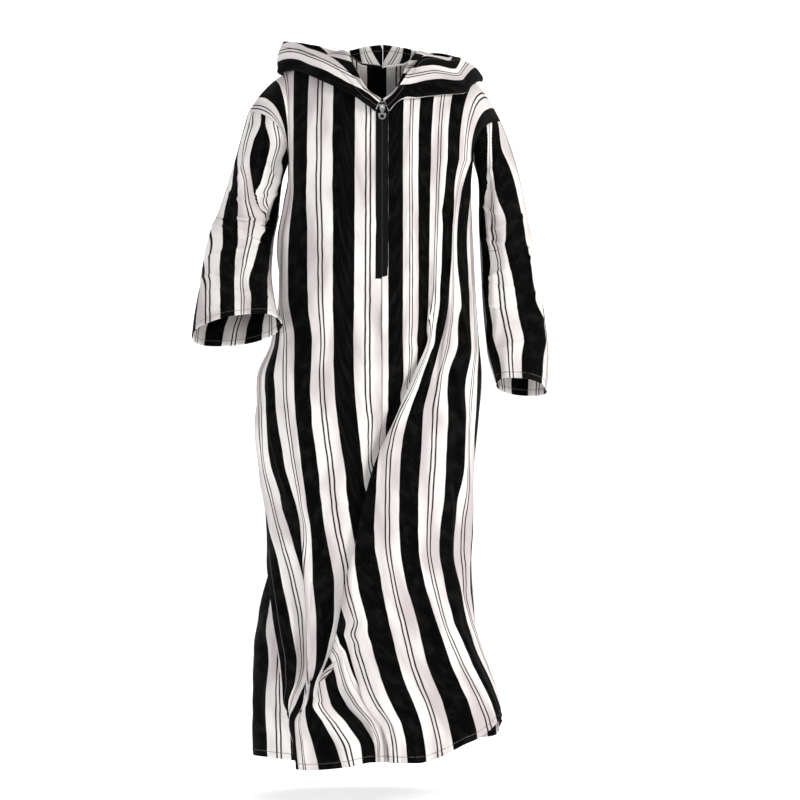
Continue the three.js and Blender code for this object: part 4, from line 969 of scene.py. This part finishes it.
# ---------- zip ----------
TOOTH_PITCH = 2.6
TOOTH = (2.6, 1.3, 1.5)   # across, out and along
TOOTH_OFF = 0.9           # from the middle of the tape to the middle of a tooth
TOOTH_TAPER = 0.72        # its top's share of its foot
FIRST_TOOTH = 10          # down from the tape's upper end
TEETH_SHORT = 8           # so many fewer than the tape has room for
TOOTH_WORN = 0.25
TOOTH_FACES = ((0, 1, 3, 2), (4, 6, 7, 5), (0, 2, 6, 4), (1, 5, 7, 3), (0, 4, 5, 1), (2, 3, 7, 6))
TAPE_TOP_LEVEL = 0.96     # on the front panel, where 1 is the neck's edge
TAPE_UPPER_LINES, TAPE_LOWER_LINES = 40, 60
TAPE_COLUMNS = 17
CORD_OFF = 3.4            # the tape's two cords: from its middle, half their width, and height
CORD_HALF = 0.8
CORD_HEIGHT = 0.5


def tape_levels():
    end = (TAPE_END_Z - CHEST_Z) / (CHEST_Z - float(curve(FRONT_HEM, "w", "z", 0)))
    return np.concatenate([np.linspace(TAPE_TOP_LEVEL, 0, TAPE_UPPER_LINES, endpoint=False),
                           np.linspace(0, end, TAPE_LOWER_LINES)])


def zip_surface(w, lift):
    levels = tape_levels()[:, None]
    across = np.broadcast_to(np.asarray(w, float)[None, :], (len(levels), len(w)))
    grid = panel_point("front", across, np.broadcast_to(levels, across.shape))
    return raise_cloth(grid, np.full(across.shape, lift))


def zip_teeth(name, material):
    """Two rows of moulded teeth that mesh along the middle of the tape."""
    line = zip_surface([-1.0, 0.0, 1.0], SEAM_GAP + TAPE_THICK)
    middle, out = line[:, 1], normals_of(line)[:, 1]
    far = np.concatenate([[0], np.cumsum(np.linalg.norm(np.diff(middle, axis=0), axis=1))])
    count = int(far[-1] / TOOTH_PITCH) * 2 - TEETH_SHORT
    points, faces = [], []
    for k in range(count):
        at = FIRST_TOOTH + k * TOOTH_PITCH / 2
        centre, normal = (np.array([np.interp(at, far, places[:, i]) for i in range(3)])
                          for places in (middle, out))
        down = np.cross([1, 0, 0], normal)
        side = -TOOTH_OFF if k % 2 else TOOTH_OFF
        faces += [[len(points) + i for i in face] for face in TOOTH_FACES]
        for dx, dn, dl in ((x, n, m) for n in (0, 1) for x in (-1, 1) for m in (-1, 1)):
            narrow = TOOTH_TAPER if dn else 1
            points.append((centre + np.array([side + dx * TOOTH[0] / 2 * narrow, 0, 0])
                           + normal * dn * TOOTH[1] + down * dl * TOOTH[2] / 2 * narrow) * MM)
    data = bpy.data.meshes.new(name)
    data.from_pydata([tuple(p) for p in points], [], faces)
    data.materials.append(material)
    piece = place_object(name, data)
    bevel = piece.modifiers.new("worn_edges", "BEVEL")
    bevel.width = TOOTH_WORN * MM
    bevel.segments = 1
    return piece


def woven_tape(name):
    """Polyester zip tape: tight black diagonal ribs with a nearly matt face."""
    made, tree = new_material(name)
    places = add(tree, "Attribute", attribute_name="cloth_mm").outputs["Vector"]
    rib = 1 / 1.6 / WAVES_A_UNIT
    ribs = add(tree, "TexWave", {0: places, "Scale": rib, "Distortion": 0.3}, bands_direction="DIAGONAL")
    fluff = add(tree, "TexNoise", {"Vector": places, "Scale": 1 / 4, "Detail": 3}).outputs[0]
    tone = add(tree, "Mix", {0: fluff, 6: "040404", 7: "0E0E10"}, data_type="RGBA").outputs[2]
    bump = add(tree, "Bump", {"Height": ribs.outputs["Fac"], "Strength": 0.3, "Distance": 0.0004}).outputs[0]
    shader = add(tree, "BsdfPrincipled", {
        "Base Color": tone, "Normal": bump, "Roughness": 0.7, "Specular IOR Level": 0.1,
    })
    add(tree, "OutputMaterial", {0: shader.outputs[0]})
    return made


def acetal(name):
    """Black moulded acetal: smooth and a little glossy, dulled by handling."""
    made, tree = new_material(name)
    place = add(tree, "TexCoord").outputs["Object"]
    wear = add(tree, "TexNoise", {"Vector": place, "Scale": 900, "Detail": 2}).outputs[0]
    tone = add(tree, "Mix", {0: wear, 6: "050505", 7: "1A1A1B"}, data_type="RGBA").outputs[2]
    shader = add(tree, "BsdfPrincipled", {"Base Color": tone, "Roughness": 0.42})
    add(tree, "OutputMaterial", {0: shader.outputs[0]})
    return made


def nickel(name):
    """Nickel-plated zinc, tumbled smooth: bright, with a soft brushed streak."""
    made, tree = new_material(name)
    place = add(tree, "TexCoord").outputs["Object"]
    stretched = add(tree, "Mapping", {"Vector": place, "Scale": (300, 300, 2600)}).outputs[0]
    streak = add(tree, "TexNoise", {"Vector": stretched, "Scale": 1, "Detail": 3}).outputs[0]
    tone = add(tree, "Mix", {0: streak, 6: "D4D5D7", 7: "F0F0F1"}, data_type="RGBA").outputs[2]
    rough = add(tree, "MapRange", {0: streak, "To Min": 0.22, "To Max": 0.42}).outputs[0]
    bump = add(tree, "Bump", {"Height": streak, "Strength": 0.08, "Distance": 0.0001}).outputs[0]
    shader = add(tree, "BsdfPrincipled", {
        "Base Color": tone, "Roughness": rough, "Normal": bump, "Metallic": 1,
    })
    add(tree, "OutputMaterial", {0: shader.outputs[0]})
    return made


tape_w = np.linspace(-TAPE_WIDTH / 2, TAPE_WIDTH / 2, TAPE_COLUMNS)
tape_grid = zip_surface(tape_w, SEAM_GAP + TAPE_THICK)
cords = CORD_HEIGHT * np.exp(-((np.abs(tape_w) - CORD_OFF) / CORD_HALF) ** 2)
tape_grid = raise_cloth(tape_grid, np.broadcast_to(cords, tape_grid.shape[:2]))
polyester = woven_tape("zip_tape_polyester")
tape = cloth_piece("zip_tape_woven", tape_grid, tape_w, lengths(tape_grid), polyester, NO_HEM, TAPE_THICK)
teeth = zip_teeth("zip_teeth", acetal("black_acetal"))
polished = nickel("nickel_plated_zinc")
for node in ("zip_slider", "zip_pull"):
    for slot in bpy.data.objects[node].material_slots:
        slot.material = polished

# ---------- bodies ---------------------------------
for i, (node, piece) in enumerate(cloth_pieces.items()):
    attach(piece, "garment")
    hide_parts(node)
for piece in (tape, teeth):
    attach(piece, "garment")
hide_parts("zip_tape")

# ---------- stage ----------
FLOOR_Z = -1.455
STAGE_PROFILE = [(10, 0), (11.6, 0.15), (12.6, 0.7), (13, 1.6), (13, 5.2)]   # radius and height
STAGE_SIDES = 96


def lit_stage(name):
    """A round floor with a wall that curves up from it on all sides, so it looks the same all round."""
    material, tree = new_material("pale_lit_floor")
    shader = add(tree, "BsdfPrincipled", {
        "Base Color": "F5F5F6", "Roughness": 0.9, "Emission Color": "FFFFFF", "Emission Strength": 0.56,
    })
    add(tree, "OutputMaterial", {0: shader.outputs[0]})
    angles = [2 * math.pi * i / STAGE_SIDES for i in range(STAGE_SIDES)]
    points = [(r * math.cos(a), r * math.sin(a), FLOOR_Z + z) for r, z in STAGE_PROFILE for a in angles]
    faces = [tuple(range(STAGE_SIDES))]
    for lower in range(0, len(points) - STAGE_SIDES, STAGE_SIDES):
        upper = lower + STAGE_SIDES
        for i in range(STAGE_SIDES):
            j = (i + 1) % STAGE_SIDES
            faces.append((lower + i, lower + j, upper + j, upper + i))
    data = bpy.data.meshes.new(name)
    data.from_pydata(points, [], faces)
    data.materials.append(material)
    return place_object(name, data)


lit_stage("floor")

FRAME_WIDE = 1.568        # what the picture spans at the front of the robe
CAMERA_FAR = 8
SENSOR_WIDE = 36
PICTURE_MIDDLE = (0.035, -0.16, -0.666)
camera_data = bpy.data.cameras.new("camera")
camera_data.sensor_width = SENSOR_WIDE
camera_data.lens = SENSOR_WIDE * CAMERA_FAR / FRAME_WIDE
camera_data.clip_end = 60
camera = place_object("camera", camera_data)
camera.location = (PICTURE_MIDDLE[0], PICTURE_MIDDLE[1] - CAMERA_FAR, PICTURE_MIDDLE[2])
camera.rotation_euler = (math.pi / 2, 0, 0)
bpy.context.scene.camera = camera


def soft_light(name, place, aim, size, power, colour):
    data = bpy.data.lights.new(name, "AREA")
    data.shape = "RECTANGLE"
    data.size, data.size_y = size
    data.energy = power
    data.color = linear(colour)[:3]
    light = place_object(name, data)
    light.location = place
    towards = np.array(aim, float) - np.array(place, float)
    flat = math.hypot(towards[0], towards[1])
    light.rotation_euler = (math.atan2(flat, -towards[2]), 0, -math.atan2(towards[0], towards[1]))


soft_light("key", (3.3, -3.2, 1.6), (0, 0, -0.6), (1.1, 1.6), 115, "FFFBF5")
soft_light("fill", (-3.4, -3.8, 0.2), (0, 0, -0.7), (2.4, 3.0), 20, "F1EDF6")
soft_light("top", (0, 1.6, 3.4), (0, 1.5, -1.4), (6, 4), 110, "FFFFFF")
world = bpy.data.worlds.new("studio")
world.use_nodes = True
background = world.node_tree.nodes["Background"]
background.inputs[0].default_value = linear("F5F2F5")
background.inputs[1].default_value = 0.2
bpy.context.scene.world = world
bpy.context.scene.view_settings.view_transform = "Standard"
